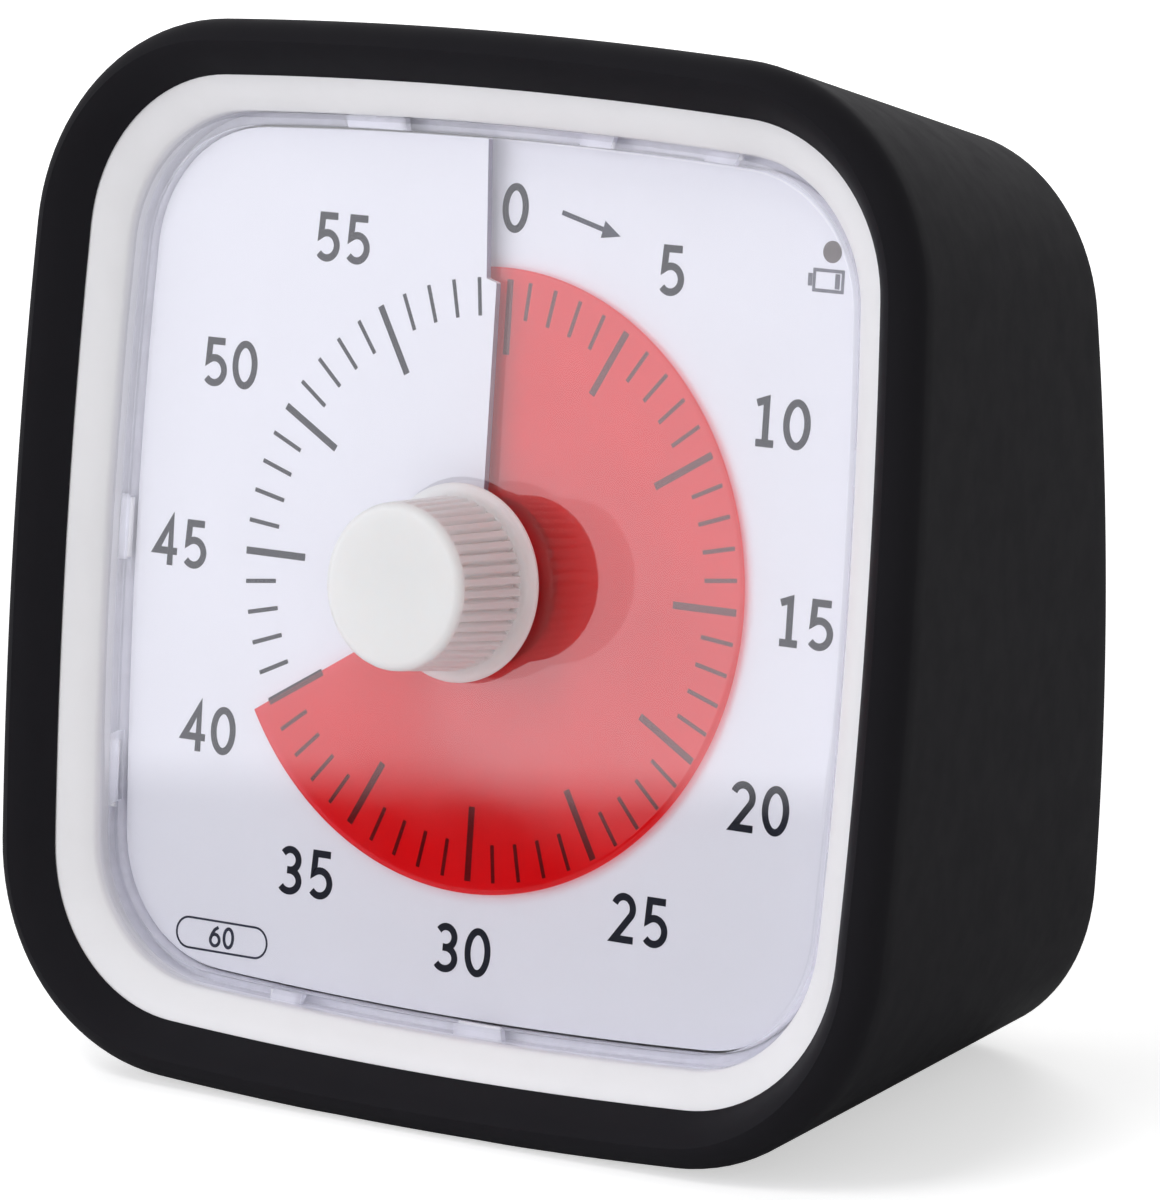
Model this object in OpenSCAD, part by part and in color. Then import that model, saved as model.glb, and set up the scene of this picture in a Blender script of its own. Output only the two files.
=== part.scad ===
// Visual countdown timer: a square clock case in a stretched silicone sleeve, with a 60 minute
// dial, a red disc that turns through a slit in the dial, and a ribbed setting knob.
//
// The case is drawn in two frames. The standing frame has its origin on the table, under the
// middle of the timer, +Z up and +Y towards the back. The face frame has its origin at the centre
// of the dial, with +Y into the case; it leans back from the standing frame by the lean angle.

/* [Sleeve] */
// Half width of the sleeve at its front rim
rim_half = 44.6; // [43.5:0.1:46]
// Corner size of the sleeve's front rim
rim_corner = 18.6; // [17:0.1:20]
// Width of the rim from the sleeve's sides to the bezel
rim_width = 4.6; // [4.4:0.05:5]
// How far the rim's sides bow outwards
rim_bow = 0.7; // [0.4:0.05:1.2]
// How far the crest of the rim stands in front of the dial
rim_forward = 8.1; // [7.2:0.1:9]
// Rounding between the sleeve's rim and its sides
rim_round = 3; // [2:0.1:3.6]
// Wall of the sleeve
sleeve_wall = 2.5; // [1.8:0.1:2.8]
// Gap between the stretched sleeve and the case
sleeve_gap = 0.1; // [0.05:0.05:0.3]
// How far the sleeve's back lip reaches over the back cover
back_lip = 1.6; // [1:0.1:1.8]
// Thickness of the back lip
lip_thick = 1.6; // [1.2:0.1:2.2]
// Depth of the flat that the sleeve stands on
foot_flat = 0.3; // [0.15:0.05:0.4]

/* [Case] */
// Angle by which the front leans back
lean = 7.15; // [6:0.05:8]
// Distance from the dial to the back of the sleeve, at mid height
case_depth = 40; // [38.5:0.5:46]
// Angle by which the top closes in towards the back
top_taper = 7.75; // [6:0.05:8.5]
// Corner size at the back
back_corner = 14; // [12:0.1:16]
// How far the sides bow outwards at the back
back_bow = 1; // [0.5:0.05:1.3]
// Rounding at the back of the sleeve
back_round = 1.6; // [1:0.1:2]
// Wall of the case
case_wall = 2; // [1.6:0.1:2.2]
// Width of the white bezel from the sleeve's lip to the window
bezel_width = 2.9; // [2.7:0.1:3.1]
// How far the bezel stands in front of the dial
bezel_forward = 4.75; // [4.4:0.05:5.2]
// Thickness of the back cover
cover_thick = 2.6; // [2.4:0.1:3.2]

/* [Lens] */
// How far the lens stands in front of the dial
lens_forward = 3.1; // [3:0.05:3.4]
// Thickness of the lens
lens_thick = 1; // [0.8:0.05:1.05]
// Gap between the lens and the window
lens_gap = 0.1; // [0.05:0.05:0.2]
// Height of the slots in the lens's skirt, where the case's tabs lock it
tab_slot = 0.5; // [0.3:0.05:0.6]

/* [Dial and disc] */
// Radius of the red disc
disc_r = 25.5; // [24.5:0.1:26]
// Thickness of the red disc
disc_thick = 0.3; // [0.2:0.05:0.35]
// Thickness of the dial sheet
sheet_thick = 0.6; // [0.4:0.05:0.65]
// Depth that the dial and the disc gain in one turn
dial_pitch = 1.6; // [1.5:0.05:1.7]
// Radius of the hole in the dial behind the knob
dial_hole_r = 7; // [6:0.1:7.4]
// Radius beyond which the upper flap of the slit is cut back
flap_r = 24.4; // [23:0.1:25]
// Width by which the flap is cut back at its outer end
flap_cut = 1.7; // [1:0.1:2.2]
// Minutes shown at rest
rest_minutes = 40; // [10:1:55]

/* [Knob] */
// Radius of the knob over its ribs
knob_r = 7.1; // [6.6:0.1:7.6]
// Distance from the dial to the knob's front
knob_forward = 14.3; // [12.5:0.1:16]
// Rounding of the knob's front edge
knob_round = 0.7; // [0.4:0.1:1]
// Number of ribs round the knob
knob_ribs = 44; // [30:2:46]
// Height of the ribs
rib_height = 0.45; // [0.3:0.05:0.6]
// Radius of the knob's flange
flange_r = 8.05; // [7.9:0.05:8.8]
// Thickness of the flange
flange_thick = 0.5; // [0.4:0.05:0.6]
// Gap between the flange and the lens
flange_gap = 0.25; // [0.2:0.05:0.35]
// Radius of the knob's shaft
shaft_r = 2.5; // [2.3:0.05:2.6]

/* [Movement] */
// Tooth module of the main wheel
main_module = 0.5; // [0.5:0.01:0.52]
// Tooth module of the third wheel
third_module = 0.4; // [0.4:0.01:0.42]
// Thickness of the main wheel
main_thick = 2; // [1.5:0.1:2.2]
// Thickness of the third wheel
third_thick = 1.5; // [1.2:0.1:1.8]
// Depth between the chassis and the movement's base plate
movement_depth = 7.5; // [7.2:0.1:8.5]
// Radius of the motor
motor_r = 7.5; // [6.5:0.1:8]
// Length of the motor
motor_len = 5.5; // [4.5:0.1:6]
// Running clearance round every shaft
shaft_gap = 0.05; // [0.03:0.01:0.08]

/* [Battery and back] */
// Radius of a battery cell
cell_r = 7.1; // [6.9:0.05:7.15]
// Length of a battery cell
cell_len = 50.5; // [49.5:0.1:50.5]
// Room for the contact spring beside a cell
spring_room = 4; // [3.4:0.1:4]
// Room between the battery bay and the side walls, which sets how far the sides close in
side_room = 2.4; // [2:0.1:3]
// Height of the battery bay's middle above the table
bay_height = 32; // [30:0.5:33]
// Thickness of the battery door
door_thick = 1.6; // [1.4:0.1:1.8]
// Gap round the battery door
door_gap = 0.15; // [0.1:0.05:0.25]
// Travel of the volume slider
slider_travel = 5; // [4:0.5:6]
// Radius of the buzzer
buzzer_r = 7; // [6:0.1:7.5]
// Radius of the screw shanks
screw_r = 1.25; // [1.1:0.05:1.4]

/* [Hidden] */
$fn = 64;

// Fineness of the case outline: steps along half a side and round a corner
side_steps = 3;
corner_steps = 8;
// Steps round the dial and the disc
turn_steps = 72;
eps = 0.01;
// Gap between fixed pieces that touch in the real timer
seat_gap = 0.05;

// Case: the face frame's place in the standing frame, and the sizes of the front
lean_k = tan(lean);
top_k = tan(top_taper);
body_front = rim_round - rim_forward;
face_z = rim_half * cos(lean) + body_front * sin(lean) - foot_flat;
back_y = case_depth * cos(lean);
front_y = -knob_forward * cos(lean) - (knob_r - knob_round) * sin(lean);
face_y = -(front_y + back_y) / 2;
case_inset = sleeve_wall + sleeve_gap;
inner_inset = case_inset + case_wall;
bezel_half = rim_half - rim_width;
bezel_corner = rim_corner - rim_width;
window_half = bezel_half - bezel_width;
rim_crest = 0.4;
crest_fall = 0.5;
lip_edge = 1.2;
bezel_edge = 0.3;

// Back of the case, as distances from the dial's centre along the standing frame's Y
cover_y = back_y - lip_thick - seat_gap;
cover_in = cover_y - cover_thick;
contact_thick = 0.4;
cell_gap = 0.8;
cell_play = 0.3;
bay_len = cell_len + spring_room + 2 * contact_thick;
bay_high = 4 * cell_r + 2 * cell_gap;
bay_wall = 1.3;
bay_floor = cover_y - door_thick - 2 * cell_r - 2 * cell_play;
door_lap = 1.5;
cell_rise = cell_r + cell_gap / 2;
cell_y = bay_floor + cell_r + cell_play;
contact_half = cell_r * 0.8;

// The sides close in until the battery bay just clears the walls
back_half = bay_len / 2 + bay_wall + side_room + inner_inset;
side_k = (rim_half - back_half) / (cover_in / cos(lean) - body_front);

// Bezel, lens and dial in the face frame
bezel_y = -bezel_forward;
lens_y = -lens_forward;
lens_half = window_half - lens_gap;
lens_corner = bezel_corner - 2;
lens_hole_r = shaft_r + 2.1;
tab_wall = lens_thick + 1;
ledge_y = seat_gap;
ledge_half = window_half - 1;
ledge_corner = bezel_corner - 2.7;
dial_half = lens_half - lens_thick - 0.2;
dial_corner = lens_corner - 0.9;
chassis_y = 2.2;
chassis_thick = 1.6;
chassis_back = chassis_y + chassis_thick;
vent_w = 9;
vent_h = 5;
vent_reach = 5.5;
base_y = chassis_back + movement_depth;
base_thick = 1.5;
base_back = base_y + base_thick;
dial_start = dial_pitch / 2;
overlap_turn = 6;
flap_step = 0.6;
carrier_r = disc_r + 1.2;
carrier_width = 3;

// Slots in the lens's skirt: the side as a turn from the top, the place along it and the width
tab_at = [[0, -13, 6], [0, 9.5, 3], [0, 22, 3], [90, 20, 3], [90, -13, 3], [180, -3.1, 4.6],
    [180, 17, 3], [270, 0.8, 5.4], [270, -20, 6]];

// Knob and shaft
flange_y = lens_y - flange_gap - flange_thick;
rib_floor = knob_r - rib_height;
rib_gap = 1.1;
hub_r = shaft_r + 2;
neck_in = 0.1;
neck_lap = 0.5;
hub_front = -dial_pitch * rest_minutes / 60 - disc_thick / 2 - 0.08;
hub_back = dial_pitch * (60 - rest_minutes) / 60 + disc_thick / 2 + 0.07;
arbor_r = shaft_r - 0.5;
pivot_r = arbor_r - 0.5;
key_w = 1;
key_h = 0.6;
key_y = 1.95;

// Gear train: the main wheel, the third wheel up to its left, and the motor above that
main_teeth = 60;
third_pinion_teeth = 12;
third_teeth = 50;
motor_teeth = 10;
mesh_gap = 0.1;
third_reach = main_module * (main_teeth + third_pinion_teeth) / 2 + mesh_gap;
third_at = third_reach * [cos(150), sin(150)];
motor_reach = third_module * (third_teeth + motor_teeth) / 2 + mesh_gap;
motor_at = third_at + motor_reach * [cos(70), sin(70)];
main_y = chassis_back + 1.6;
main_hole_r = 2.6;
main_hole_at = 8.5;
clutch_y = main_y + main_thick + seat_gap;
clutch_thick = 0.8;
clutch_r = 5;
clutch_leaf = 0.25;
third_y = main_y + main_thick + 1.2;
third_arbor_r = 1;
third_pivot_r = 0.75;
pivot_boss = 0.6;
cam_y = clutch_y + clutch_thick + 0.15;
cam_thick = 1.6;
cam_r = 6;
cam_notch = 1.6;
blade_gap = 0.4;
blade_len = 7;
blade_thick = 0.3;
blade_step = 1.5;
zero_body_w = 4;
zero_body_h = 6;
base_half = 22;
pillar_r = 2.2;
pillars = [[19, 19], [19, -19], [-19, -19], [4, 19.5]];
pilot_r = screw_r * 0.6;
small_head_r = 2;
mount_lip = 0.6;
mount_wide = 1.4;

// Screws that hold the back cover, by place across the case and height above the table
post_r = 3.1;
post_inset = 4.15;
post_drop = 22.92;
screw_x = bay_len / 2 + bay_wall - post_inset;
screw_low = 10.9;
screw_high = face_z + rim_half - post_drop;
screw_at = [for (z = [screw_low, screw_high]) for (x = [-screw_x, screw_x]) [x, z]];
screw_head_r = 2.5;
screw_head = 1.8;
screw_sink = 0.3;
cross_len = 2.8;
cross_w = 0.7;
cross_deep = 0.9;
boss_len = 9;
thread_len = 6;

// Circuit board above the battery bay, with the buzzer, the volume switch and the chip on it
board_rise = 8.8;
board_room = 5.6;
upper_z = bay_height + bay_high / 2 + bay_wall + board_rise;
board_y = cover_in - board_room;
board_thick = 1.6;
board_back = board_y + board_thick;
board_w = 2 * (screw_x - post_r - 0.3);
board_h = 12;
stud_r = 1.8;
stud_inset = 2.6;
stud_x = board_w / 2 - stud_inset;
slider_w = 3.6;
slider_h = 3;
slider_gap = 0.15;
slider_foot = 0.7;
switch_w = slider_travel + slider_w + 3.4;
switch_h = 6;
switch_wall = 0.6;
switch_gap = 0.4;
buzzer_at = [-(stud_x - stud_r - 0.4 - buzzer_r), upper_z];
slider_at = [stud_x - stud_r - 1.4 - switch_w / 2, upper_z];
grille_w = 1.1;
grille_step = 2.2;
sound_hole_r = 1.2;
chip_w = 9;
chip_h = 4;
chip_thick = 1.6;
chip_x = 2;
pin_w = 0.4;
pin_step = 1.2;
pin_reach = 1;
crystal_r = 1;
crystal_len = 6;
crystal_x = -11;

// Low battery light behind the dial's upper right corner
led_r = 1.5;
led_inset = [4.5, 6.5];
led_at = [dial_half, dial_half] - led_inset;
led_flange = 0.9;
led_seat = chassis_back + 1.2;
led_board_w = 7;
led_board_h = 5.5;
led_board_thick = 1;
led_board_shift = [0.8, 0.8];

sleeve_black = [0.13, 0.13, 0.14];
case_white = [0.93, 0.93, 0.92];
dial_white = [0.9, 0.91, 0.96];
disc_red = [0.85, 0.1, 0.12, 0.85];
clear = [0.85, 0.9, 0.95, 0.35];
steel = [0.72, 0.73, 0.75];
brass = [0.8, 0.66, 0.36];
board_green = [0.12, 0.4, 0.25];

// A point of the face frame, given in the standing frame
function to_stand(p) = [p.x, face_y + p.y * cos(lean) + p.z * sin(lean),
    face_z - p.y * sin(lean) + p.z * cos(lean)];

// One quarter of a bowed square outline, from the middle of its top to the middle of its right
function quarter(a, corner, bow) = let(
        s = a - corner,
        start = atan(2 * bow / s),
        r = (a - bow - s) / (cos(start) - sin(start)),
        c = s - r * sin(start))
    concat(
        [for (i = [0 : side_steps - 1]) let(x = s * i / side_steps) [x, a - bow * pow(x / s, 2)]],
        [for (i = [0 : corner_steps]) let(t = start + (90 - 2 * start) * i / corner_steps)
            [c + r * sin(t), c + r * cos(t)]],
        [for (i = [side_steps - 1 : -1 : 1]) let(z = s * i / side_steps)
            [a - bow * pow(z / s, 2), z]]);

// The whole outline, clockwise as seen from the front
function outline(a, corner, bow) = let(q = quarter(a, corner, bow))
    concat([for (p = q) [p.x, p.y]], [for (p = q) [p.y, -p.x]],
        [for (p = q) [-p.x, -p.y]], [for (p = q) [-p.y, p.x]]);

// A ring that is square to the dial, and no lower than the table
function face_ring(y, a, corner, bow) =
    [for (p = outline(a, corner, bow)) let(q = to_stand([p.x, y, p.y])) [q.x, q.y, max(q.z, 0)]];

// A ring of the tapered body, drawn in by inset. At turn 0 it is square to the dial, and at
// turn 1 it is upright, as the back of the case is.
function body_ring(y, turn, inset) = let(
        run = y - body_front,
        share = min(1, max(0, run / (case_depth - body_front))),
        corner = rim_corner + (back_corner - rim_corner) * share,
        bow = rim_bow + (back_bow - rim_bow) * share,
        half_w = rim_half - side_k * run - inset,
        high = (rim_half - top_k * run) / (1 - top_k * lean_k * turn) - inset,
        low = (rim_half - lean_k * run) / (1 + lean_k * lean_k * turn) - inset,
        half_h = (high + low) / 2,
        half = (half_w + half_h) / 2)
    [for (p = outline(half, max(corner - inset, 1), bow)) let(
            z = p.y * half_h / half + (high - low) / 2,
            q = to_stand([p.x * half_w / half, y - lean_k * turn * z, z]))
        [q.x, q.y, max(q.z, 0)]];

// Rings along the body, front to back, turning from square with the dial to upright
function body_rings(inset, last) =
    [for (t = [0 : 0.25 : 1]) body_ring(body_front + (last - body_front) * t, t, inset)];

// A closed loop of rings, each joined to the next, as one solid
module ring_loop(rings) {
    n = len(rings[0]);
    m = len(rings);
    polyhedron(
        points = [for (r = rings) for (p = r) p],
        faces = [for (i = [0 : m - 1]) for (j = [0 : n - 1]) let(
                a = i * n + j,
                b = i * n + (j + 1) % n,
                c = (i + 1) % m * n + j,
                d = (i + 1) % m * n + (j + 1) % n)
            each [[a, d, b], [a, c, d]]],
        convexity = 8);
}

module in_face() {
    translate([0, face_y, face_z]) rotate([-lean, 0, 0]) children();
}

// Children drawn flat in X and Z, made solid from depth y0 to depth y1
module slab(y0, y1) {
    translate([0, y1, 0]) rotate([90, 0, 0]) linear_extrude(y1 - y0) children();
}

// A round bar along Y
module rod(r, y0, y1, at = [0, 0]) {
    translate([at.x, y1, at.y]) rotate([90, 0, 0]) cylinder(r = r, h = y1 - y0);
}

// A block along Y, centred on a point in X and Z
module block(w, h, y0, y1, at = [0, 0]) {
    translate([at.x - w / 2, y0, at.y - h / 2]) cube([w, y1 - y0, h]);
}

// Half profile of radii and depths, turned round the Y axis
module turned(points) {
    rotate([90, 0, 0]) rotate_extrude() polygon([for (p = points) [p.x, -p.y]]);
}

// ---------------------------------------------------------------- sleeve and case

module silicone_sleeve() {
    rim_in = rim_half - rim_round - rim_crest;
    lip_y = bezel_y - seat_gap;
    back_in = case_depth - lip_thick / cos(lean);
    color(sleeve_black) ring_loop(concat(
        [face_ring(lip_y, bezel_half, bezel_corner, rim_bow),
         face_ring(lip_y - lip_edge, bezel_half + 0.15, bezel_corner + 0.2, rim_bow),
         face_ring(-rim_forward + crest_fall, rim_in - 0.7, bezel_corner + 0.9, rim_bow),
         face_ring(-rim_forward, rim_in + 0.3, bezel_corner + 1.6, rim_bow)],
        [for (t = [0.2 : 0.2 : 0.8]) let(off = rim_round * (1 - sin(90 * t)))
            face_ring(-rim_forward + rim_round * (1 - cos(90 * t)),
                rim_half - off, rim_corner - off, rim_bow)],
        body_rings(0, case_depth - back_round),
        [for (t = [0.33, 0.67, 1]) body_ring(case_depth - back_round * (1 - sin(90 * t)), 1,
            back_round * (1 - cos(90 * t)))],
        [body_ring(case_depth, 1, sleeve_wall + back_lip),
         body_ring(back_in, 1, sleeve_wall + back_lip)],
        [for (r = [4 : -1 : 0]) body_rings(sleeve_wall, back_in)[r]],
        [body_ring(lip_y, 0, sleeve_wall)]));
}

// Deep housing: bezel, window ledge and tapered walls, open at the back
module front_housing() {
    rear = (cover_in - seat_gap) / cos(lean);
    bezel_out = rim_half - case_inset;
    bezel_mid = (bezel_y + lens_y) / 2 - 0.15;
    color(case_white) ring_loop(concat(
        [face_ring(bezel_y + bezel_edge, bezel_out - 0.4, bezel_corner + 2, rim_bow),
         face_ring(bezel_y, bezel_out - 1.1, bezel_corner + 1.4, rim_bow),
         face_ring(bezel_y + 0.05, bezel_half - 0.2, bezel_corner - 0.1, rim_bow),
         face_ring(bezel_mid, window_half + 1.3, bezel_corner - 1.1, rim_bow),
         face_ring(lens_y - 0.1, window_half + 0.25, lens_corner + 0.1, rim_bow),
         face_ring(lens_y + 0.2, window_half, lens_corner, rim_bow),
         face_ring(ledge_y, window_half, lens_corner, rim_bow),
         face_ring(ledge_y, ledge_half, ledge_corner, rim_bow),
         face_ring(chassis_y - seat_gap, ledge_half, ledge_corner, rim_bow),
         body_ring(chassis_y - seat_gap, 0, inner_inset)],
        [for (t = [0.25 : 0.25 : 1])
            body_ring(chassis_y + (rear - chassis_y) * t, t, inner_inset)],
        [for (r = [4 : -1 : 1]) body_rings(case_inset, rear)[r]],
        [body_ring(body_front + 1.2, 0, case_inset)]));
}

// Clear tray: front, skirt, locking slots and the hole for the knob
module lens() {
    color(clear) in_face() difference() {
        slab(lens_y, 0) polygon(outline(lens_half, lens_corner, rim_bow));
        slab(lens_y + lens_thick, eps)
            polygon(outline(lens_half - lens_thick, lens_corner - 0.7, rim_bow));
        rod(lens_hole_r, lens_y - eps, lens_y + lens_thick + eps);
        for (tab = tab_at) rotate([0, tab[0], 0])
            block(tab[2], 2 * tab_wall, -lens_thick - tab_slot, -lens_thick,
                [tab[1], lens_half]);
    }
}

// Depth of the middle of the dial sheet at an angle clockwise from 12 o'clock
function sheet_y(turn) = dial_start - dial_pitch * turn / 360;

// Distance from the centre to the edge of the square dial at an angle: where the ray meets the
// bowed side, or past it the corner's arc
function edge_r(turn) = let(
        q = (turn + 360) % 90,
        fold = min(q, 90 - q),
        s = dial_half - dial_corner,
        k = rim_bow * pow(sin(fold) / s, 2),
        side_r = fold < 0.1 ? dial_half
            : (sqrt(pow(cos(fold), 2) + 4 * dial_half * k) - cos(fold)) / (2 * k),
        start = atan(2 * rim_bow / s),
        arc_r = (dial_half - rim_bow - s) / (cos(start) - sin(start)),
        c = s - arc_r * sin(start),
        reach = c * (sin(fold) + cos(fold)))
    side_r * sin(fold) < s ? side_r : reach + sqrt(pow(reach, 2) - 2 * c * c + pow(arc_r, 2));

// A sheet that follows the screw surface: columns of radii, one column an angle
module screw_sheet(columns, mid, thick) {
    m = len(columns);
    n = len(columns[0]);
    points = [for (side = [-0.5, 0.5]) for (c = columns) for (p = c) let(
            q = [p.x * sin(p.y), mid(p.y) + side * thick, p.x * cos(p.y)]) to_stand(q)];
    half = m * n;
    polyhedron(points = points, faces = concat(
        [for (i = [0 : m - 2]) for (j = [0 : n - 2]) let(a = i * n + j, b = a + 1, c = a + n, d = c + 1)
            each [[a, b, d], [a, d, c], [half + a, half + d, half + b],
                [half + a, half + c, half + d]]],
        [for (i = [0 : m - 2]) let(a = i * n, c = a + n)
            each [[a, c, half + c], [a, half + c, half + a]]],
        [for (i = [0 : m - 2]) let(a = i * n + n - 1, c = a + n)
            each [[a, half + c, c], [a, half + a, half + c]]],
        [for (j = [0 : n - 2]) each [[j, half + j, half + j + 1], [j, half + j + 1, j + 1]]],
        [for (j = [0 : n - 2]) let(a = (m - 1) * n + j)
            each [[a, half + a + 1, half + a], [a, a + 1, half + a + 1]]]),
        convexity = 6);
}

// Square dial in one turn of a shallow screw. Its upper end is a flap over its lower end, and the
// red disc runs between the two.
module dial_plate() {
    step = 360 / turn_steps;
    cut = asin(flap_cut * flap_step / flap_r);
    cut_out = asin(flap_cut / dial_half);
    turns = concat([-overlap_turn], [for (turn = [0 : step : 360 - step]) turn], [360 - 0.2]);
    columns = [for (turn = turns) let(back = turn > 360 - step ? 1 : 0)
        [[dial_hole_r, turn], [flap_r - 0.3, turn], [flap_r + 0.4, turn - back * cut],
         [edge_r(turn - back * cut_out), turn - back * cut_out]]];
    color(dial_white) screw_sheet(columns, function (turn) sheet_y(turn), sheet_thick);
}

// Ring that carries the dial sheet: flat at the back, following the sheet at the front
module dial_carrier() {
    step = 360 / turn_steps;
    radii = [carrier_r, carrier_r + carrier_width];
    last = 360 - overlap_turn - 2;
    turns = concat([for (turn = [0 : step : last - 1]) turn], [last]);
    m = len(turns);
    front = function (turn) sheet_y(turn) + sheet_thick / 2 + 0.02;
    points = [for (back = [0, 1]) for (turn = turns) for (r = radii)
        to_stand([r * sin(turn), back == 1 ? chassis_y - seat_gap : front(turn), r * cos(turn)])];
    half = 2 * m;
    color(case_white) polyhedron(points = points, faces = concat(
        [for (i = [0 : m - 2]) let(a = 2 * i, b = a + 1, c = a + 2, d = a + 3) each
            [[a, b, d], [a, d, c], [half + a, half + d, half + b], [half + a, half + c, half + d],
             [a, c, half + c], [a, half + c, half + a],
             [b, half + d, d], [b, half + b, half + d]]],
        [[0, half, half + 1], [0, half + 1, 1]],
        [let(a = half - 2) each [[a, half + a + 1, half + a], [a, a + 1, half + a + 1]]]),
        convexity = 4);
}

// Plate behind the dial: carries the dial, the movement and the four bosses for the back cover
module chassis() {
    half_out = rim_half - side_k * (chassis_back - body_front) - inner_inset - 0.25;
    color(case_white) difference() {
        union() {
            in_face() {
                slab(chassis_y, chassis_back)
                    polygon(outline(half_out, rim_corner - inner_inset, rim_bow));
                rod(shaft_r + 1.7, chassis_y, main_y - 0.4);
                rod(third_arbor_r + 1.2, chassis_y, main_y - 1, third_at);
                for (p = pillars) rod(pillar_r, chassis_y, base_y - seat_gap, p);
            }
            translate([0, face_y, 0]) for (p = screw_at) let(z = p.y - face_z)
                rod(post_r, chassis_y + 1 + z * lean_k, chassis_y + boss_len + z * lean_k, p);
        }
        in_face() {
            rod(shaft_r + shaft_gap, chassis_y - 1, main_y);
            rod(third_pivot_r + shaft_gap, chassis_y - 1, main_y, third_at);
            rod(led_r + shaft_gap, chassis_y - 1, main_y, led_at);
            for (p = pillars) rod(pilot_r, base_y - 5, base_y, p);
            for (a = [45 : 90 : 315]) rotate([0, a, 0])
                block(vent_w, vent_h, chassis_y - eps, chassis_back + eps,
                    [0, carrier_r + vent_reach]);
        }
        translate([0, face_y, 0]) for (p = screw_at) let(z = p.y - face_z)
            rod(screw_r + shaft_gap, chassis_y + boss_len - thread_len + z * lean_k,
                chassis_y + boss_len + 1 + z * lean_k, p);
    }
}

// ---------------------------------------------------------------- back of the case

// Outline of the upright back, drawn in by inset, in X and height above the table
module back_outline(inset) {
    polygon([for (p = body_ring(case_depth - (lip_thick + seat_gap) / cos(lean), 1, inset))
        [p.x, p.z]]);
}

// Upright cover with the battery bay, screw posts, buzzer grille and slider slot
module back_cover() {
    bay_w = bay_len + 2 * bay_wall;
    bay_h = bay_high + 2 * bay_wall;
    slot_w = slider_travel + slider_w + 2 * slider_gap;
    grille_r = buzzer_r - 1;
    color(case_white) translate([0, face_y, 0]) difference() {
        union() {
            slab(cover_in, cover_y) back_outline(case_inset);
            block(bay_w, bay_h, bay_floor - bay_wall, cover_in + eps, [0, bay_height]);
            for (p = screw_at) let(z = p.y - face_z)
                rod(post_r, chassis_y + boss_len + z * lean_k + seat_gap, cover_in + eps, p);
            for (x = [-stud_x, stud_x])
                rod(stud_r, board_back, cover_in + eps, [x, upper_z]);
        }
        block(bay_len, bay_high, bay_floor, cover_y + 1, [0, bay_height]);
        block(bay_len + 2 * door_lap, bay_high + 2 * door_lap, cover_y - door_thick, cover_y + 1,
            [0, bay_height]);
        for (i = [-2 : 2]) let(w = 2 * sqrt(pow(grille_r, 2) - pow(grille_step * i, 2)))
            block(w, grille_w, cover_in - 1, cover_y + 1, buzzer_at + [0, grille_step * i]);
        block(slot_w, slider_h + 2 * slider_gap, cover_in - 1, cover_y + 1, slider_at);
        for (p = screw_at) {
            rod(screw_r + 0.2, 0, cover_y + 1, p);
            rod(screw_head_r + 0.3, cover_y - screw_head - screw_sink, cover_y + 1, p);
        }
    }
}

// One screw with its head's outer face at depth y and a cross recess
module screw(reach, y, at) {
    difference() {
        union() {
            rod(screw_r, y - reach, y - eps, at);
            rod(screw_head_r, y - screw_head, y, at);
        }
        block(cross_len, cross_w, y - cross_deep, y + 1, at);
        block(cross_w, cross_len, y - cross_deep, y + 1, at);
    }
}

module housing_screws() {
    color(steel) translate([0, face_y, 0]) for (p = screw_at) let(z = p.y - face_z)
        screw(cover_y - screw_sink - chassis_y - boss_len + thread_len - 1 - z * lean_k,
            cover_y - screw_sink, p);
}

module battery_cell(rise, side) {
    nub = 1;
    start = side * (bay_len / 2 - contact_thick - spring_room + 0.02);
    color(side > 0 ? [0.2, 0.35, 0.6] : [0.25, 0.4, 0.62])
        translate([start, face_y + cell_y, bay_height + rise]) rotate([0, -90 * side, 0]) {
            cylinder(r = cell_r, h = cell_len - nub);
            cylinder(r = cell_r * 0.38, h = cell_len);
        }
}

module battery_cell_upper() {
    battery_cell(cell_rise, 1);
}

module battery_cell_lower() {
    battery_cell(-cell_rise, -1);
}

// Wire coil along X from its wide end, as a swept tube
module coil(r0, r1, reach, turns, wire) {
    sides = 6;
    steps = 10 * turns;
    points = [for (i = [0 : steps]) let(t = i / steps, r = r0 + (r1 - r0) * t, a = 360 * turns * t)
        for (k = [0 : sides - 1]) let(b = 360 * k / sides, q = r + wire * cos(b))
            [wire + reach * t + wire * sin(b), q * cos(a), q * sin(a)]];
    polyhedron(points = points, faces = concat(
        [for (i = [0 : steps - 1]) for (k = [0 : sides - 1]) let(
                a = i * sides + k, b = i * sides + (k + 1) % sides)
            each [[a, b, b + sides], [a, b + sides, a + sides]]],
        [[for (k = [sides - 1 : -1 : 0]) k], [for (k = [0 : sides - 1]) steps * sides + k]]),
        convexity = 8);
}

module contact_springs() {
    color(steel) translate([0, face_y + cell_y, bay_height]) for (side = [-1, 1])
        translate([side * bay_len / 2, 0, side * cell_rise]) mirror([side > 0 ? 1 : 0, 0, 0]) {
            translate([0.02, -contact_half, -contact_half])
                cube([contact_thick, 2 * contact_half, 2 * contact_half]);
            translate([contact_thick, 0, 0])
                coil(cell_r * 0.62, cell_r * 0.3, spring_room - 1.05, 3, 0.35);
        }
}

module contact_plates() {
    color(steel) translate([0, face_y + cell_y, bay_height]) for (side = [-1, 1])
        translate([side * (bay_len / 2 - contact_thick), 0, -side * cell_rise])
            translate([side > 0 ? 0 : -contact_thick, -contact_half, -contact_half])
                cube([contact_thick, 2 * contact_half, 2 * contact_half]);
}

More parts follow.
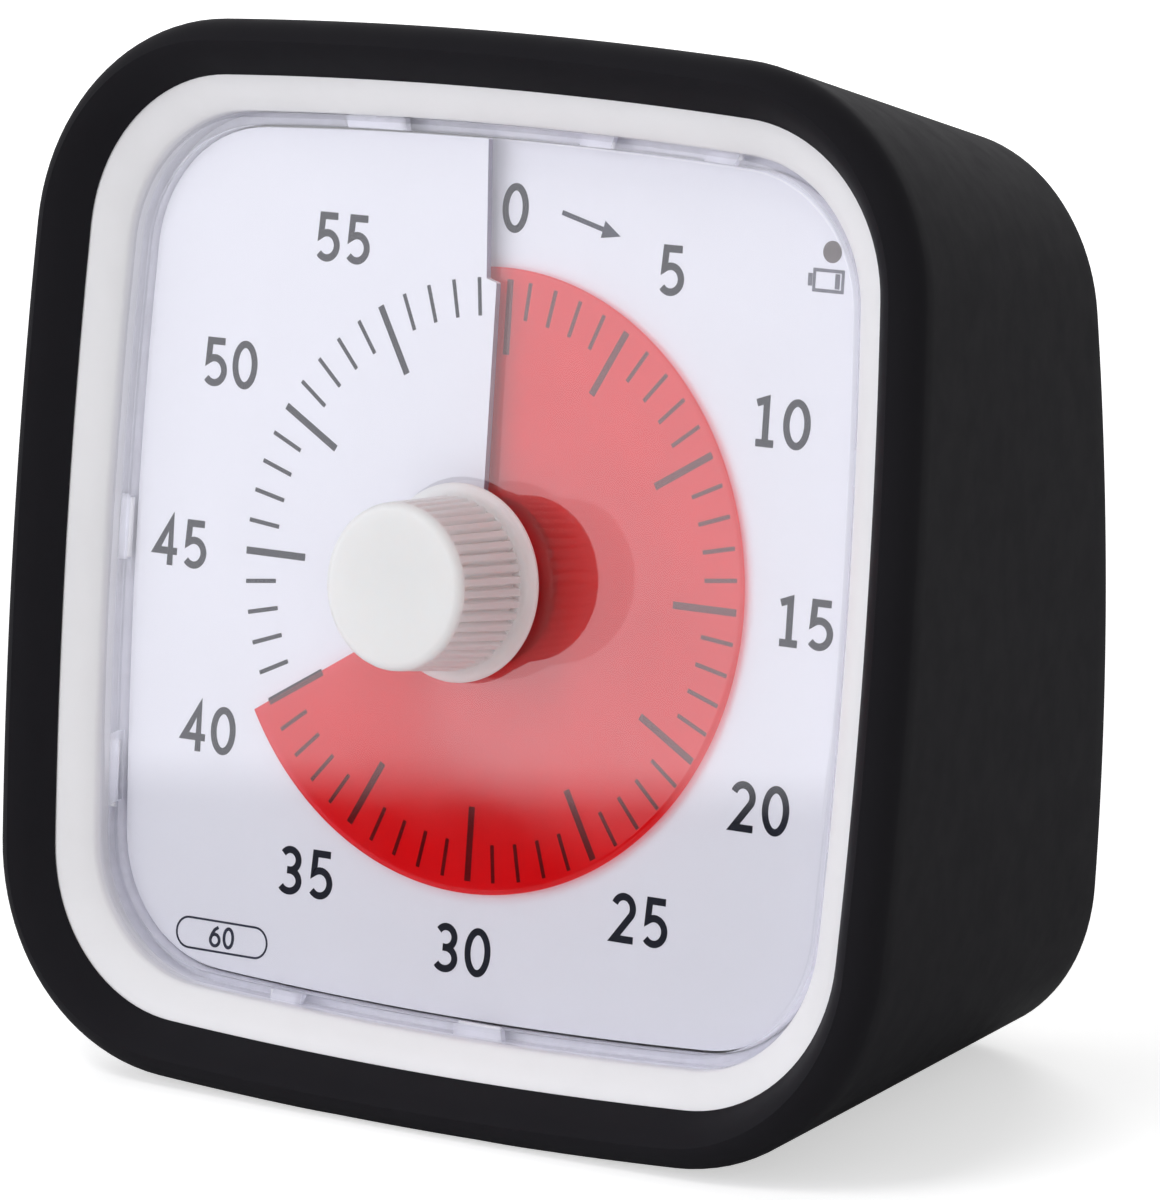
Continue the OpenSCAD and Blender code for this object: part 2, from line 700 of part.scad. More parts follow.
// Door that fills the recess over the bay, with a springy latch at its top edge
module battery_door() {
    w = bay_len + 2 * door_lap - 2 * door_gap;
    h = bay_high + 2 * door_lap - 2 * door_gap;
    latch_w = 12;
    latch_h = 7;
    slit = 0.8;
    grip_step = 1.4;
    color(case_white) translate([0, face_y, 0]) difference() {
        union() {
            block(w, h, cover_y - door_thick + seat_gap, cover_y, [0, bay_height]);
            for (x = [-w / 4, w / 4])
                block(6, 1.2, cover_y - door_thick - 1.2, cover_y - eps,
                    [x, bay_height - bay_high / 2 + 1]);
        }
        for (x = [-1, 1]) block(slit, latch_h, cover_y - door_thick - 2, cover_y + 1,
            [x * latch_w / 2, bay_height + h / 2 - latch_h / 2 + eps]);
        for (i = [0 : 2]) block(latch_w - 4, grip_step / 2, cover_y - 0.5, cover_y + 1,
            [0, bay_height + h / 2 - 2 - grip_step * i]);
    }
}

// ---------------------------------------------------------------- electronics

module circuit_board() {
    color(board_green) translate([0, face_y, 0]) difference() {
        block(board_w, board_h, board_y, board_back - seat_gap, [0, upper_z]);
        for (x = [-stud_x, stud_x]) rod(pilot_r + 0.25, board_y - 1, board_back, [x, upper_z]);
    }
}

module control_chip() {
    pins = 7;
    color([0.15, 0.15, 0.16]) translate([0, face_y, 0]) {
        block(chip_w, chip_h, board_y - chip_thick - 0.2, board_y - 0.2, [chip_x, upper_z]);
        for (i = [0 : pins - 1]) block(pin_w, chip_h + 2 * pin_reach, board_y - 0.7,
            board_y - 0.02, [chip_x + pin_step * (i - (pins - 1) / 2), upper_z]);
    }
}

module timing_crystal() {
    color(steel) translate([crystal_x, face_y + board_y - crystal_r - seat_gap, upper_z])
        rotate([0, 90, 0]) cylinder(r = crystal_r, h = crystal_len);
}

module buzzer() {
    color([0.12, 0.12, 0.13]) translate([0, face_y, 0]) difference() {
        rod(buzzer_r, board_back, cover_in - 0.3, buzzer_at);
        rod(sound_hole_r, cover_in - 1.5, cover_in, buzzer_at);
    }
}

// Metal shell of the volume switch, open towards the cover for the slider's foot
module switch_housing() {
    color(steel) translate([0, face_y, 0]) difference() {
        block(switch_w, switch_h, board_back, cover_in - switch_gap, slider_at);
        block(switch_w - 2 * switch_wall, switch_h - 2 * switch_wall, board_back + switch_wall,
            cover_in, slider_at);
    }
}

module volume_slider() {
    foot_y = board_back + switch_wall + switch_gap;
    color([0.2, 0.2, 0.21]) translate([0, face_y, 0]) difference() {
        union() {
            block(slider_w, slider_h, foot_y, cover_y - 0.2, slider_at);
            block(slider_w + 2 * slider_foot, switch_h - 2 * switch_wall - switch_gap, foot_y,
                foot_y + 2 * slider_foot, slider_at);
        }
        for (x = [-1, 0, 1]) block(0.4, slider_h + 1, cover_y - 0.6, cover_y,
            slider_at + [x, 0]);
    }
}

module low_battery_led() {
    front = sheet_y(atan2(led_at.x, led_at.y)) + sheet_thick / 2 + 0.3;
    color([0.75, 0.15, 0.15, 0.9]) in_face() translate([led_at.x, 0, led_at.y]) turned([
        [0, front], [led_r * 0.6, front + 0.3 * led_flange], [led_r, front + led_flange],
        [led_r, led_seat], [0, led_seat]]);
}

module led_board() {
    y = led_seat + 2 * eps;
    color(board_green) in_face()
        block(led_board_w, led_board_h, y, y + led_board_thick,
            led_at - led_board_shift);
}

// ---------------------------------------------------------------- movement

// Tooth outline of a gear: four points a tooth, slimmer than the gap so that it runs free
function gear_points(teeth, m) = let(r = teeth * m / 2, p = 360 / teeth)
    [for (i = [0 : teeth - 1]) for (c = [[-0.27, -1.15], [-0.11, 0.8], [0.11, 0.8], [0.27, -1.15]])
        (r + m * c.y) * [sin(p * (i + c.x)), cos(p * (i + c.x))]];

module gear(teeth, m, y0, y1, at = [0, 0], phase = 0) {
    slab(y0, y1) translate(at) rotate(phase) polygon(gear_points(teeth, m));
}

// Rotation that puts a gap of the driven gear over a tooth of the gear at the centre. Angles are
// measured anticlockwise from straight up, as seen from the front.
function mesh_phase(from, to, teeth, phase, other) = let(
        line = atan2(-(to - from).x, (to - from).y),
        shift = (line - phase) * teeth / other)
    line + 180 + shift + 180 / other;

third_phase = mesh_phase([0, 0], third_at, main_teeth, 0, third_pinion_teeth);
motor_phase = mesh_phase(third_at, motor_at, third_teeth, third_phase, motor_teeth);

module movement_base() {
    color(case_white) in_face() difference() {
        union() {
            slab(base_y, base_back) {
                polygon(outline(base_half, 6, 0.3));
                translate(motor_at) circle(r = motor_r + 2);
            }
            rod(pivot_r + 1.5, base_y - pivot_boss, base_y + eps);
            rod(third_pivot_r + 1.2, base_y - pivot_boss, base_y + eps, third_at);
        }
        rod(pivot_r + shaft_gap, base_y - 1, base_back + 1);
        rod(third_pivot_r + shaft_gap, base_y - 1, base_back + 1, third_at);
        rod(third_module * motor_teeth / 2 + 0.8, base_y - 1, base_back + 1, motor_at);
        for (p = pillars) rod(screw_r, base_y - 1, base_back + 1, p);
    }
}

module movement_screws() {
    color(steel) in_face() for (p = pillars) difference() {
        union() {
            rod(pilot_r - shaft_gap, base_y - 4, base_back + 0.5, p);
            rod(small_head_r, base_back + seat_gap, base_back + 1.2, p);
        }
        block(1.2 * small_head_r, cross_w, base_back + 0.7, base_back + 2, p);
    }
}

module motor() {
    color(steel) in_face() difference() {
        union() {
            rod(motor_r, base_back + mount_lip, base_back + motor_len, motor_at);
            rod(motor_r + mount_wide, base_back + seat_gap, base_back + mount_lip + eps,
                motor_at);
        }
        rod(third_pivot_r + shaft_gap, base_back - 1, base_back + motor_len - 1, motor_at);
    }
}

module motor_pinion() {
    color(brass) in_face() {
        rod(third_pivot_r, third_y - 0.5, base_back + motor_len - 1.5, motor_at);
        gear(motor_teeth, third_module, third_y - 0.3, third_y + third_thick + 0.3, motor_at,
            motor_phase);
    }
}

module third_wheel() {
    color([0.86, 0.86, 0.84]) in_face() {
        rod(third_pivot_r, chassis_y + 0.3, base_back - 0.2, third_at);
        rod(third_arbor_r, main_y - 0.9, base_y - pivot_boss - 0.1, third_at);
        gear(third_pinion_teeth, main_module, main_y - 0.5, main_y + main_thick + 0.5, third_at,
            third_phase);
        gear(third_teeth, third_module, third_y, third_y + third_thick, third_at, third_phase);
    }
}

module main_wheel() {
    color([0.9, 0.9, 0.88]) in_face() difference() {
        gear(main_teeth, main_module, main_y, main_y + main_thick);
        rod(arbor_r, main_y - 1, main_y + main_thick + 1);
        for (a = [30 : 60 : 330]) rod(main_hole_r, main_y - 1, main_y + main_thick + 1,
            main_hole_at * [sin(a), cos(a)]);
    }
}

// Dished washer that presses the main wheel against the shaft's shoulder
module clutch_spring() {
    color(steel) in_face() turned([[arbor_r, clutch_y + clutch_thick - clutch_leaf],
        [clutch_r, clutch_y], [clutch_r, clutch_y + clutch_leaf],
        [arbor_r, clutch_y + clutch_thick]]);
}

// Cam with one notch, which the switch's blade meets when the dial reads zero
module zero_cam() {
    color([0.85, 0.85, 0.82]) in_face() difference() {
        rod(cam_r, cam_y, cam_y + cam_thick);
        rod(arbor_r, cam_y - 1, cam_y + cam_thick + 1);
        rotate([0, 90 + 6 * rest_minutes, 0])
            block(cam_notch, 2 * cam_notch, cam_y - 1, cam_y + cam_thick + 1, [0, cam_r]);
    }
}

module zero_switch() {
    blade_x = cam_r + blade_gap;
    blade_w = cam_thick - blade_gap;
    body_x = blade_x + blade_len - 1 + zero_body_w / 2;
    color([0.5, 0.35, 0.2]) in_face() {
        block(zero_body_w, zero_body_h, cam_y - blade_gap, base_y - seat_gap, [body_x, 0]);
        for (i = [0, 1]) translate([blade_x + i * blade_step, cam_y + blade_gap / 2,
            i * blade_step - blade_thick / 2])
            cube([blade_len - i * blade_step, blade_w, blade_thick]);
    }
}

module knob_shaft() {
    end = base_back + 1.3;
    color([0.88, 0.88, 0.86]) in_face() {
        rod(shaft_r, -knob_forward + 3, main_y);
        rod(arbor_r, main_y - eps, base_y - pivot_boss - 0.1);
        rod(pivot_r, base_y - pivot_boss - 0.1 - eps, end);
        block(key_w, 2 * (shaft_r + key_h), -key_y, key_y);
    }
}

module shaft_clip() {
    y = base_back + 0.3;
    color(steel) in_face() difference() {
        rod(pivot_r + 1.4, y, y + 0.6);
        rod(pivot_r, y - 1, y + 2);
        block(1.2, 4, y - 1, y + 2, [0, -pivot_r - 2.4]);
    }
}

// Outline of the ribbed barrel: a flat-topped rib and a gap, all the way round
function rib_points() = let(p = 360 / knob_ribs)
    [for (i = [0 : knob_ribs - 1]) for (c = [[-0.3, -1], [-0.18, 0], [0.18, 0], [0.3, -1]])
        (knob_r + rib_height * c.y) * [sin(p * (i + c.x)), cos(p * (i + c.x))]];

module knob() {
    front = -knob_forward;
    rib_end = flange_y - rib_gap;
    color(case_white) in_face() difference() {
        union() {
            intersection() {
                slab(front, rib_end) polygon(rib_points());
                turned([[0, front], [knob_r - knob_round, front],
                    [knob_r - 0.3 * knob_round, front + 0.3 * knob_round],
                    [knob_r + eps, front + knob_round], [knob_r + eps, rib_end], [0, rib_end]]);
            }
            turned([[0, rib_end - neck_lap], [rib_floor - neck_in, rib_end - neck_lap],
                [rib_floor - neck_in, flange_y], [flange_r - 0.2, flange_y],
                [flange_r, flange_y + 0.2], [flange_r, flange_y + flange_thick],
                [shaft_r + 1.5, flange_y + flange_thick], [shaft_r + 1.5, lens_y + 0.5],
                [0, lens_y + 0.5]]);
        }
        rod(shaft_r + 0.02, front + 2.5, 0);
    }
}

// ---------------------------------------------------------------- red disc

module disc_hub() {
    color([0.9, 0.9, 0.88]) in_face() difference() {
        rod(hub_r, hub_front, hub_back);
        rod(shaft_r + shaft_gap, hub_front - 1, hub_back + 1);
        block(key_w + 2 * shaft_gap, 2 * (shaft_r + key_h + shaft_gap), hub_front - 1,
            hub_back + 1);
    }
}

// Red disc in one turn of the dial's own screw, half a pitch in front of the dial
module time_disc() {
    step = 360 / turn_steps;
    start = 6 * rest_minutes - 360;
    turns = concat([start + 0.5], [for (i = [1 : turn_steps - 1]) start + i * step],
        [start + 359.5]);
    columns = [for (turn = turns) [[hub_r, turn], [disc_r, turn]]];
    color(disc_red) screw_sheet(columns, function (turn) sheet_y(turn) - dial_pitch / 2, disc_thick);
}

silicone_sleeve();
front_housing();
lens();
dial_plate();
dial_carrier();
chassis();
back_cover();
housing_screws();
battery_cell_upper();
battery_cell_lower();
contact_springs();
contact_plates();
movement_base();
movement_screws();
motor();
zero_switch();
circuit_board();
control_chip();
timing_crystal();
buzzer();
switch_housing();
low_battery_led();
led_board();
knob();
knob_shaft();
main_wheel();
clutch_spring();
zero_cam();
shaft_clip();
disc_hub();
time_disc();
third_wheel();
motor_pinion();
battery_door();
volume_slider();
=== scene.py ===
"""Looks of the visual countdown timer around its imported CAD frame.

Lengths are in millimetres in the face frame, which has its origin at the centre of the dial,
+Y into the case and Z up along the dial. stand() turns them into metres in the row's frame.
"""

import math

import bmesh
import bpy
from mathutils import Matrix, Vector


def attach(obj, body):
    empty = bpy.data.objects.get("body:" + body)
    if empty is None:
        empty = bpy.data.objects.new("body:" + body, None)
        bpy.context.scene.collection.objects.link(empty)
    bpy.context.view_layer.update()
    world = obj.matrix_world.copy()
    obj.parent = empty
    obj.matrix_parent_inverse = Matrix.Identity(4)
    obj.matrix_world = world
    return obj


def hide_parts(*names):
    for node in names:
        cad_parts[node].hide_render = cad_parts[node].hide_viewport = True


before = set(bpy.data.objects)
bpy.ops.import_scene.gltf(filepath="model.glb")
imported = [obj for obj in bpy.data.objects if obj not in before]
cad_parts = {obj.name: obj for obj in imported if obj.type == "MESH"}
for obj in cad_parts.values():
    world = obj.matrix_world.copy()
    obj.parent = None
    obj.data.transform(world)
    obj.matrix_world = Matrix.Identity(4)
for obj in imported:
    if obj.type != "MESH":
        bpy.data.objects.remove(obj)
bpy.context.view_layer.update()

MM = 0.001

# ---------------------------------------------------------------- sizes of the CAD source

LEAN = math.radians(7.15)
COS, SIN = math.cos(LEAN), math.sin(LEAN)

# Silicone sleeve: its rim around the face, its wall and the lip around the back
RIM_HALF = 44.6
RIM_CORNER = 18.6
RIM_BOW = 0.7
RIM_FORWARD = 8.1
RIM_ROUND = 3.0
SLEEVE_WALL = 2.5
BACK_LIP = 1.6
LIP_THICK = 1.6
FOOT_FLAT = 0.3

# Tapered body behind the rim
CASE_DEPTH = 40.0
TOP_TAPER = math.radians(7.75)
BACK_CORNER = 14.0
BACK_BOW = 1.0
BACK_ROUND = 1.6
CASE_WALL = 2.0
COVER_THICK = 2.6
CHASSIS_FRONT = 2.2
FIT_GAP = 0.05

# Bezel, lens and dial
BEZEL_HALF = 40.0
BEZEL_CORNER = 14.0
BEZEL_Y = -4.75
WINDOW_HALF = 37.1
LENS_Y = -3.1
LENS_THICK = 1.0
LENS_CORNER = 12.0
LENS_HALF = WINDOW_HALF - 0.1
LENS_INNER = LENS_HALF - LENS_THICK
DISC_R = 25.5
DISC_THICK = 0.3
DIAL_PITCH = 1.6
SHEET_THICK = 0.6
DIAL_HALF = LENS_INNER - 0.2
DIAL_CORNER = LENS_CORNER - 0.9
DIAL_HOLE_R = 7.0
FLAP_R = 24.4
FLAP_CUT = 1.7
REST_MINUTES = 40

# Knob
KNOB_R = 7.1
KNOB_FORWARD = 14.3
KNOB_ROUND = 0.7
KNOB_RIBS = 44
RIB_HEIGHT = 0.45
RIB_GAP = 1.1
FLANGE_R = 8.05
FLANGE_THICK = 0.5
FLANGE_GAP = 0.25
FLANGE_Y = LENS_Y - FLANGE_GAP - FLANGE_THICK
SHAFT_R = 2.5

# Places that follow from these, as in the CAD source
CASE_INSET = SLEEVE_WALL + 0.1
INNER_INSET = CASE_INSET + CASE_WALL
BODY_FRONT = RIM_ROUND - RIM_FORWARD
BACK_Y = CASE_DEPTH * COS
FACE_Y = (KNOB_FORWARD * COS + (KNOB_R - KNOB_ROUND) * SIN - BACK_Y) / 2
FACE_Z = RIM_HALF * COS + BODY_FRONT * SIN - FOOT_FLAT
COVER_Y = BACK_Y - LIP_THICK - FIT_GAP
COVER_IN = COVER_Y - COVER_THICK
CELL_LONG, CELL_ENDS, CELL_SPRING = 55.3, 1.3, 2.4
BACK_HALF = CELL_LONG / 2 + CELL_ENDS + CELL_SPRING + INNER_INSET
SIDE_K = (RIM_HALF - BACK_HALF) / (COVER_IN / COS - BODY_FRONT)
TOP_K = math.tan(TOP_TAPER)
LEAN_K = math.tan(LEAN)

# The shown knob keeps inside its plain solid, a little shorter and slimmer, as photographed
SHOWN_FORWARD = KNOB_FORWARD - 1.4
SHOWN_R = KNOB_R - 0.35
SHOWN_TAPER = 0.35
SHOWN_GROOVE = RIB_HEIGHT
SHOWN_RIB_GAP = RIB_GAP - 0.4
SHOWN_FLANGE_R = FLANGE_R + 0.05
SHOWN_FLANGE_Y = FLANGE_Y - 0.4

# The photograph's camera in the face frame: place, axes and focal length
CAMERA_AT = (364.3186, -506.5665, 57.3794)
CAMERA_RIGHT = (0.81387494, 0.57752538, 0.06381244)
CAMERA_DOWN = (0.10589806, -0.03945128, -0.99359408)
CAMERA_AHEAD = (-0.57130831, 0.81541893, -0.09326722)
FOCAL_PIXELS, FRAME_HIGH, SENSOR = 7717.52, 1200, 36.0


def stand(x, y, z):
    """A point of the face frame in the row's frame, in metres."""
    return Vector((x, FACE_Y + y * COS + z * SIN, FACE_Z - y * SIN + z * COS)) * MM


def turn(v):
    """A direction of the face frame in the row's frame."""
    return Vector((v[0], v[1] * COS + v[2] * SIN, v[2] * COS - v[1] * SIN))


# ---------------------------------------------------------------- mesh helpers

# Steps of a quarter of a bowed square: along half of a side, and around a corner
SIDE_STEPS, CORNER_STEPS = 14, 22
SAME_POINT = 1e-7


def piece(name, verts, faces, material, body, sharp=35, replaces=()):
    """A mesh piece from points in metres, smooth but for edges sharper than an angle."""
    mesh = bpy.data.meshes.new(name)
    mesh.from_pydata([tuple(v) for v in verts], [], faces)
    mesh.update()
    obj = bpy.data.objects.new(name, mesh)
    bpy.context.scene.collection.objects.link(obj)
    bm = bmesh.new()
    bm.from_mesh(mesh)
    bmesh.ops.delete(bm, geom=[v for v in bm.verts if not v.link_faces], context="VERTS")
    bmesh.ops.remove_doubles(bm, verts=bm.verts, dist=SAME_POINT)
    bmesh.ops.recalc_face_normals(bm, faces=bm.faces)
    limit = math.radians(sharp)
    for face in bm.faces:
        face.smooth = True
    for edge in bm.edges:
        edge.smooth = len(edge.link_faces) == 2 and edge.calc_face_angle(0) < limit
    bm.to_mesh(mesh)
    bm.free()
    mesh.materials.append(material)
    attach(obj, body)
    if replaces:
        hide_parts(*replaces)
    return obj


def loft(rings, loop=False, caps=False):
    """Faces between rings of equal length; loop joins the last ring to the first."""
    n = len(rings[0])
    verts = [p for ring in rings for p in ring]
    faces = []
    for i in range(len(rings) if loop else len(rings) - 1):
        k = (i + 1) % len(rings)
        for j in range(n):
            q = (j + 1) % n
            faces.append((i * n + j, i * n + q, k * n + q, k * n + j))
    if caps:
        faces.append(tuple(range(n)))
        faces.append(tuple((len(rings) - 1) * n + j for j in range(n)))
    return verts, faces


def corner_arc(half, corner, bow):
    """Where a bowed square's side ends, and its corner arc: start angle, radius and centre."""
    side_end = half - corner
    start = math.atan(2 * bow / side_end)
    radius = (half - bow - side_end) / (math.cos(start) - math.sin(start))
    return side_end, start, radius, side_end - radius * math.sin(start)


def outline(half, corner, bow):
    """Square with bowed sides and round corners, clockwise from the middle of its top."""
    side_end, start, radius, centre = corner_arc(half, corner, bow)
    quarter = []
    for i in range(SIDE_STEPS):
        x = side_end * i / SIDE_STEPS
        quarter.append((x, half - bow * (x / side_end) ** 2))
    for i in range(CORNER_STEPS + 1):
        t = start + (math.pi / 2 - 2 * start) * i / CORNER_STEPS
        quarter.append((centre + radius * math.sin(t), centre + radius * math.cos(t)))
    for i in range(SIDE_STEPS - 1, 0, -1):
        z = side_end * i / SIDE_STEPS
        quarter.append((half - bow * (z / side_end) ** 2, z))
    return (
        quarter
        + [(z, -x) for x, z in quarter]
        + [(-x, -z) for x, z in quarter]
        + [(-z, x) for x, z in quarter]
    )


def face_ring(y, half, corner):
    """A ring square to the dial, and no lower than the table."""
    ring = [stand(x, y, z) for x, z in outline(half, corner, RIM_BOW)]
    for p in ring:
        p.z = max(p.z, 0)
    return ring


def body_ring(y, upright, inset):
    """The CAD source's tapered ring: square to the dial at upright 0, vertical at 1."""
    run = y - BODY_FRONT
    share = min(1, max(0, run / (CASE_DEPTH - BODY_FRONT)))
    corner = RIM_CORNER + (BACK_CORNER - RIM_CORNER) * share
    bow = RIM_BOW + (BACK_BOW - RIM_BOW) * share
    half_w = RIM_HALF - SIDE_K * run - inset
    high = (RIM_HALF - TOP_K * run) / (1 - TOP_K * LEAN_K * upright) - inset
    low = (RIM_HALF - LEAN_K * run) / (1 + LEAN_K * LEAN_K * upright) - inset
    half_h = (high + low) / 2
    half = (half_w + half_h) / 2
    ring = []
    for px, pz in outline(half, max(corner - inset, 1), bow):
        z = pz * half_h / half + (high - low) / 2
        p = stand(px * half_w / half, y - LEAN_K * upright * z, z)
        p.z = max(p.z, 0)
        ring.append(p)
    return ring


def body_rings(inset, last, count):
    """Rings from the rim back to a depth, which turn from leaning to upright on the way."""
    shares = [i / count for i in range(count + 1)]
    return [body_ring(BODY_FRONT + (last - BODY_FRONT) * t, t, inset) for t in shares]


def quarter_round(count):
    """(1 - cos, 1 - sin) along a quarter turn."""
    angles = [math.pi / 2 * i / count for i in range(count + 1)]
    return [(1 - math.cos(a), 1 - math.sin(a)) for a in angles]


# ---------------------------------------------------------------- materials


class Nodes:
    """Short names for building the node tree of a material or the world."""

    def __init__(self, owner, output="ShaderNodeOutputMaterial"):
        owner.use_nodes = True
        self.tree = owner.node_tree
        self.tree.nodes.clear()
        self.out = self.add(output)
        self.at = self.add("ShaderNodeTexCoord").outputs["Object"]

    def add(self, kind, **sockets):
        node = self.tree.nodes.new(kind)
        for key, value in sockets.items():
            self.set(node, key.replace("_", " "), value)
        return node

    def set(self, node, key, value):
        """Links or fills an input, which is named or numbered."""
        socket = node.inputs[key]
        if isinstance(value, bpy.types.NodeSocket):
            self.tree.links.new(value, socket)
        else:
            socket.default_value = value

    def shows(self, shader):
        self.set(self.out, "Surface", shader)

    def noise(self, size, detail=3.0, rough=0.55, at=None):
        """Noise whose features are about size millimetres wide."""
        node = self.add("ShaderNodeTexNoise", Detail=detail, Roughness=rough)
        self.set(node, "Scale", 1 / (size * MM))
        self.set(node, "Vector", at or self.at)
        return node.outputs["Fac"]

    def span(self, fac, low, high, start=0.35, stop=0.65):
        """Maps fac from start..stop to low..high, and holds the ends."""
        node = self.add("ShaderNodeMapRange", Value=fac, To_Min=low, To_Max=high)
        self.set(node, "From Min", start)
        self.set(node, "From Max", stop)
        return node.outputs["Result"]

    def mix(self, fac, a, b):
        """Colour between a and b."""
        node = self.tree.nodes.new("ShaderNodeMix")
        node.data_type = "RGBA"
        self.set(node, 0, fac)
        self.set(node, 6, a if isinstance(a, bpy.types.NodeSocket) else (*a, 1))
        self.set(node, 7, b if isinstance(b, bpy.types.NodeSocket) else (*b, 1))
        return node.outputs[2]

    def blend(self, fac, first, second):
        """Shader between first and second."""
        node = self.add("ShaderNodeMixShader")
        for key, value in enumerate((fac, first, second)):
            self.set(node, key, value)
        return node.outputs[0]

    def calc(self, how, *values):
        node = self.tree.nodes.new("ShaderNodeMath")
        node.operation = how
        for key, value in enumerate(values):
            self.set(node, key, value)
        return node.outputs[0]

    def bump(self, height, strength, depth, normal=None):
        """Bump whose full height is depth millimetres."""
        node = self.add("ShaderNodeBump", Strength=strength, Distance=depth * MM, Height=height)
        if normal is not None:
            self.set(node, "Normal", normal)
        return node.outputs["Normal"]


def shade(color, factor):
    return tuple(min(1, c * factor) for c in color)


def solid(name, color, rough, vary=0.05, patch=9.0, rough_vary=0.05, grain=0.35, bump=0.15,
          depth=0.01, coat=0.0, soft=0.0):
    """A moulded or painted surface: soft patches of colour, uneven gloss and fine grain."""
    mat = bpy.data.materials.new(name)
    nodes = Nodes(mat)
    patches = nodes.span(nodes.noise(patch, 4), 0.0, 1.0)
    uneven = nodes.noise(patch * 0.4, 5, 0.65)
    shader = nodes.add(
        "ShaderNodeBsdfPrincipled",
        Base_Color=nodes.mix(patches, shade(color, 1 - vary), shade(color, 1 + vary)),
        Roughness=nodes.span(uneven, rough - rough_vary, rough + rough_vary),
        Normal=nodes.bump(nodes.noise(grain, 3, 0.6), bump, depth),
        Coat_Weight=coat, IOR=1.45, Subsurface_Weight=soft, Subsurface_Scale=2.6 * MM,
        Subsurface_Radius=(1.0, 0.9, 0.86),
    )
    nodes.shows(shader.outputs[0])
    return mat


def brushed(name, color, rough):
    """Metal with fine drawn lines."""
    mat = bpy.data.materials.new(name)
    nodes = Nodes(mat)
    stretch = nodes.add("ShaderNodeMapping", Vector=nodes.at, Scale=(1, 14, 14))
    lines = nodes.noise(3.0, 5, 0.7, stretch.outputs[0])
    shader = nodes.add(
        "ShaderNodeBsdfPrincipled",
        Base_Color=nodes.mix(nodes.span(lines, 0.0, 1.0), shade(color, 0.85), shade(color, 1.08)),
        Roughness=nodes.span(lines, rough - 0.08, rough + 0.1), Metallic=1.0,
        Normal=nodes.bump(lines, 0.2, 0.01),
    )
    nodes.shows(shader.outputs[0])
    return mat


def clear_lens(name, body=0.0):
    """Clear moulding: see-through, with the reflection of both its faces on the one that is drawn.

    body is the share of soft white that the light guided inside the walls gives an edge.
    """
    mat = bpy.data.materials.new(name)
    nodes = Nodes(mat)
    smear = nodes.span(nodes.noise(14.0, 5, 0.6), 0.015, 0.05)
    glossy = nodes.add("ShaderNodeBsdfGlossy", Color=(1, 1, 1, 1), Roughness=smear)
    through = nodes.add("ShaderNodeBsdfTransparent", Color=(0.985, 0.987, 0.995, 1))
    facing = nodes.add("ShaderNodeLayerWeight", Blend=0.5).outputs["Facing"]
    share = nodes.calc("MULTIPLY_ADD", nodes.calc("POWER", facing, 5.0), 0.92, 0.07)
    shader = nodes.blend(share, through.outputs[0], glossy.outputs[0])
    if body:
        glow = nodes.add("ShaderNodeBsdfTranslucent", Color=(0.93, 0.93, 0.99, 1))
        milk = nodes.add("ShaderNodeBsdfDiffuse", Color=(0.90, 0.90, 0.97, 1))
        inside = nodes.blend(0.5, glow.outputs[0], milk.outputs[0])
        cloud = nodes.span(nodes.noise(5.0, 4), body * 0.8, body * 1.2)
        shader = nodes.blend(cloud, shader, inside)
    nodes.shows(shader)
    return mat


def film(name):
    """Red translucent film: tints what is behind it and scatters a little light itself."""
    mat = bpy.data.materials.new(name)
    nodes = Nodes(mat)
    cloud = nodes.span(nodes.noise(11.0, 4), 0.0, 1.0)
    body = nodes.add(
        "ShaderNodeBsdfPrincipled", Roughness=0.35, Specular_IOR_Level=0.1,
        Base_Color=nodes.mix(cloud, (0.70, 0.008, 0.016), (0.78, 0.014, 0.024)),
        Normal=nodes.bump(nodes.noise(0.5, 2), 0.03, 0.01),
    )
    tint = nodes.mix(cloud, (0.95, 0.022, 0.04), (0.98, 0.04, 0.06))
    through = nodes.add("ShaderNodeBsdfTransparent", Color=tint)
    scatter = nodes.span(nodes.noise(3.0, 3), 0.12, 0.15)
    film_body = nodes.blend(scatter, through.outputs[0], body.outputs[0])
    smear = nodes.span(nodes.noise(9.0, 4), 0.04, 0.07)
    gloss = nodes.add("ShaderNodeBsdfGlossy", Color=(1, 1, 1, 1), Roughness=smear)
    shine = nodes.span(nodes.noise(14.0, 3), 0.024, 0.030)
    nodes.shows(nodes.blend(shine, film_body, gloss.outputs[0]))
    return mat


def ink(name, color):
    """Screen print: matt, a little uneven in density."""
    mat = bpy.data.materials.new(name)
    nodes = Nodes(mat)
    wash = nodes.span(nodes.noise(1.2, 4, 0.7), 0.0, 1.0)
    shader = nodes.add(
        "ShaderNodeBsdfPrincipled",
        Base_Color=nodes.mix(wash, shade(color, 0.8), shade(color, 1.25)),
        Roughness=nodes.span(nodes.noise(0.3, 2), 0.45, 0.62), Specular_IOR_Level=0.12,
        Normal=nodes.bump(nodes.noise(0.12, 2), 0.1, 0.004),
    )
    nodes.shows(shader.outputs[0])
    return mat


